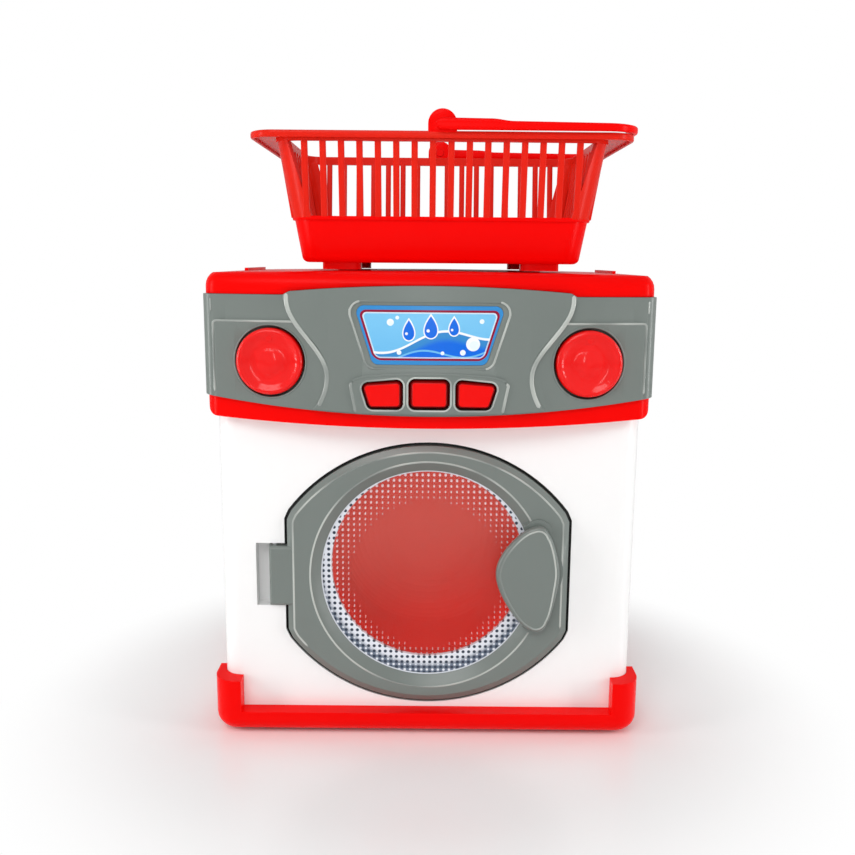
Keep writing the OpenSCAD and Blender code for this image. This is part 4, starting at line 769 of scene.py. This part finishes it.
# Band, from the middle of the bottom up the outside, over the top and down the inside to the floor: how far
# inward of the leaning wall, and how high.
inward = np.array([3.6, 2.8, 2.1, 1.4, 1.08, 1.0, 1.0, 0.12, 0.0, 0.0, 0.3, 2.7, 3.0, 3.0, 3.6, 5.2])
height = np.array([0.0, 0.12, 0.42, 1.05, 1.8, 2.6, 19.1, 19.1, 19.3, 20.6, 20.9, 20.9, 20.6, 4.6, 2.9, 2.0])
half_x, half_y = leaning(height)
floor_t, nothing = 2.0, [0.0]
band = np.vstack([ring(nothing, nothing, nothing, nothing),
                  ring(half_x - inward, half_y - inward, corner_r - inward, height),
                  ring(nothing, nothing, nothing, [floor_t])])

# The net of bars, posts and rim is the band's plastic, painted a slightly duller and warmer red than the
# closed band as the light that shines through its thin bars.
net_lit_abs = moulded("net_lit_abs", (0.75, 0.017, 0.007), 0.24, 0.08)
worn(surface("basket_band", band, (False, True), (True, True)), red_abs, "basket", "basket")

# Rim: over the wall's top, out to a lip that turns down, and back along the hollow underside. A _d is how far
# inward of the wall or the lip, and a _h how high over the rim's top.
inner_d, inner_h = np.array([0.0, 0.0, 3.0, 3.0, 2.6]), np.array([-1.9, -4.2, -4.2, -0.4, 0.0])
outer_d = np.array([1.0, 0.3, 0.0, 0.0, 0.35, 1.2, 1.5, 1.5])
outer_h = np.array([0.0, -0.25, -0.9, -2.5, -3.05, -3.2, -2.9, -1.9])
rim = np.vstack([ring(wall_x - inner_d, wall_y - inner_d, corner_r - inner_d, basket_h + inner_h),
                 ring(rim_x - outer_d, rim_y - outer_d, corner_r - outer_d, basket_h + outer_h)])
worn(surface("basket_rim", rim, (True, True)), net_lit_abs, "basket")

# Bars: upright in the long sides, leaning with the wall in the ends; posts close the four corners. bar_w and
# bar_t are half a bar's width and thickness.
bar_pitch, bar_w, bar_t = 8.2, 1.45, 1.35
h = np.linspace(band_h + 0.2, basket_h - 3.6, 7)
half_x, half_y = leaning(h)
at = (np.arange(16) - 7.5) * bar_pitch
past = np.maximum(np.abs(at)[:, None] - (half_x - corner_r), 0.0)
front = half_y - corner_r + np.sqrt(corner_r ** 2 - past ** 2) - bar_t
loop = soft_square()
for name, side in (("front", -1.0), ("back", 1.0)):
    x = basket_x + at[:, None, None] + bar_w * loop[:, 0] + 0.0 * h[None, :, None]
    y = basket_y + side * (front[..., None] + bar_t * loop[:, 1])
    loft(f"basket_{name}_bars", np.stack([x, y, base_z + h[None, :, None] + 0.0 * x], -1), net_lit_abs, "basket")
at = (np.arange(10) - 4.5) * bar_pitch
for name, side in (("left", -1.0), ("right", 1.0)):
    y = basket_y + at[:, None, None] + bar_w * loop[:, 1] + 0.0 * h[None, :, None]
    x = basket_x + side * (half_x[None, :, None] - bar_t + bar_t * loop[:, 0]) + 0.0 * y
    loft(f"basket_{name}_bars", np.stack([x, y, base_z + h[None, :, None] + 0.0 * x], -1), net_lit_abs, "basket")

# A corner post is the wall's own corner, from a leaning edge in the long side to a straight one in the end.
edge_top, edge_in, end_edge, post_t = 69.4, 10.2, 42.6, 2.7
post_edge = edge_top - edge_in * (h - h[-1]) / (h[0] - h[-1])
first_turn = np.arccos(np.clip((post_edge - half_x + corner_r) / corner_r, 0.0, 1.0))
turn = first_turn[:, None] * np.linspace(1.0, 0.0, 12)
arc = np.stack([half_x[:, None] - corner_r + corner_r * np.cos(turn),
                half_y[:, None] - corner_r + corner_r * np.sin(turn)], -1)
way = np.stack([np.cos(turn), np.sin(turn)], -1)
foot = np.stack([half_x, 0.0 * h + end_edge], -1)[:, None]
outside = np.concatenate([arc, foot], 1)
inside = np.concatenate([arc - post_t * way, foot - [[[post_t, 0.0]]]], 1)
post = np.concatenate([outside, inside[:, ::-1]], 1)
corners = np.array([[1.0, 1.0], [-1.0, 1.0], [-1.0, -1.0], [1.0, -1.0]])[:, None, None]
flat = post[None] * corners + [basket_x, basket_y]
posts = np.concatenate([flat, base_z + h[None, :, None, None] + 0.0 * flat[..., :1]], -1)
loft("basket_posts", posts, net_lit_abs, "basket")

# Feet, and the ears with their eyes.
loop = soft_square(24, 7.0)
h = np.array([-foot_h, 0.5])
foot_x, foot_y, foot_half_x, foot_half_y = 46.5, 36.0, 9.0, 5.0
flat = np.stack([basket_x + foot_x * corners[..., 0] + foot_half_x * loop[:, 0] + 0.0 * h[None, :, None],
                 basket_y + foot_y * corners[..., 1] + foot_half_y * loop[:, 1] + 0.0 * h[None, :, None]], -1)
feet = np.concatenate([flat, base_z + h[None, :, None, None] + 0.0 * flat[..., :1]], -1)
loft("basket_feet", feet, red_abs, "basket")
ear_r, ear_t, ear_foot, eye_r, peg_z = 6.4, 2.2, 3.8, 2.1, high[2] - 6.4
turn = np.linspace(0.0, 2.0 * np.pi, 64, endpoint=False)
squared = np.minimum(ear_r / np.maximum(np.abs(np.cos(turn)), 1e-6),
                     ear_foot / np.maximum(np.abs(np.sin(turn)), 1e-6))
reach = np.where(np.sin(turn) > 0.0, ear_r, squared)
shrink = np.array([0.5, 0.15, 0.0, 0.0, 0.15, 0.5])
deep = np.array([0.0, 0.15, 0.5, ear_t - 0.5, ear_t - 0.15, ear_t])
for name, side in (("front", -1.0), ("back", 1.0)):
    r = np.vstack([np.full((1, 64), eye_r), reach - shrink[:, None], np.full((1, 64), eye_r)])
    y = basket_y + side * (rim_y - np.concatenate([[0.0], deep, [ear_t]])[:, None]) + 0.0 * r
    ear = surface(f"basket_{name}_ear",
                  np.stack([basket_x + r * np.cos(turn), y, peg_z + r * np.sin(turn)], -1), (True, True))
    worn(ear, red_abs, "basket")


# Bail -------------------------------------------------------------------
# The carrying strap lies folded on the rim: it starts round at each ear, steps down, and thins towards its
# far end, where it turns across with broad corners. Two pegs in the ears carry it.
low, high = (np.array(corner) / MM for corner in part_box("basket_bail"))
strap_t, bend_r, end_r = 3.0, 14.0, 2.9
far_x, side_y = high[0] - basket_x - strap_t / 2, (high - low)[1] / 2 - strap_t / 2
start = np.concatenate([-end_r * np.cos(np.linspace(0.0, np.pi / 2, 7)),
                        np.linspace(3.0, far_x - bend_r, 34)])
turn = np.linspace(0.0, np.pi / 2, 13)[1:]
lane_x = np.concatenate([start, far_x - bend_r + bend_r * np.sin(turn)])
lane_y = np.concatenate([0.0 * start - side_y, -side_y + bend_r - bend_r * np.cos(turn)])
way = np.concatenate([0.0 * start, turn])
lane_x, lane_y = np.concatenate([lane_x, lane_x[::-1]]), np.concatenate([lane_y, -lane_y[::-1]])
way = np.concatenate([way, np.pi - way[::-1]])
step_at, step_long, step_down, thinning = 22.0, 9.0, 0.9, 1.0
step = np.clip((lane_x - step_at) / step_long, 0.0, 1.0)
top = peg_z + 2.2 - step_down * step * step * (3.0 - 2.0 * step)
top = top - thinning * np.clip(lane_x / far_x, 0.0, 1.0)
bottom = peg_z - 3.0 + 0.0 * lane_x
end = np.sqrt(np.clip(1.0 - (np.minimum(lane_x, 0.0) / (end_r + 0.05)) ** 2, 0.0, 1.0))
middle, half = (top + bottom) / 2, (top - bottom) / 2 * end
loop = soft_square(20, 3.2)
out = strap_t / 2 * loop[:, 0]
rings = np.stack([basket_x + lane_x[:, None] + np.sin(way)[:, None] * out,
                  basket_y + lane_y[:, None] - np.cos(way)[:, None] * out,
                  middle[:, None] + half[:, None] * loop[:, 1]], -1)
worn(surface("bail_strap", rings, (False, True), (True, True)), red_abs, "basket_bail", "basket_bail")
peg_r, peg_from, peg_into = 2.0, 2.7, 0.4
turn = (np.arange(24) + 0.5) * np.pi / 12
depths = np.array([[rim_y - peg_from, side_y + peg_into], [-rim_y + peg_from, -side_y - peg_into]])
x = basket_x + peg_r * np.cos(turn) + 0.0 * depths[..., None]
pegs = np.stack([x, basket_y + depths[..., None] + 0.0 * x, peg_z + peg_r * np.sin(turn) + 0.0 * x], -1)
loft("bail_pegs", pegs, red_abs, "basket_bail")
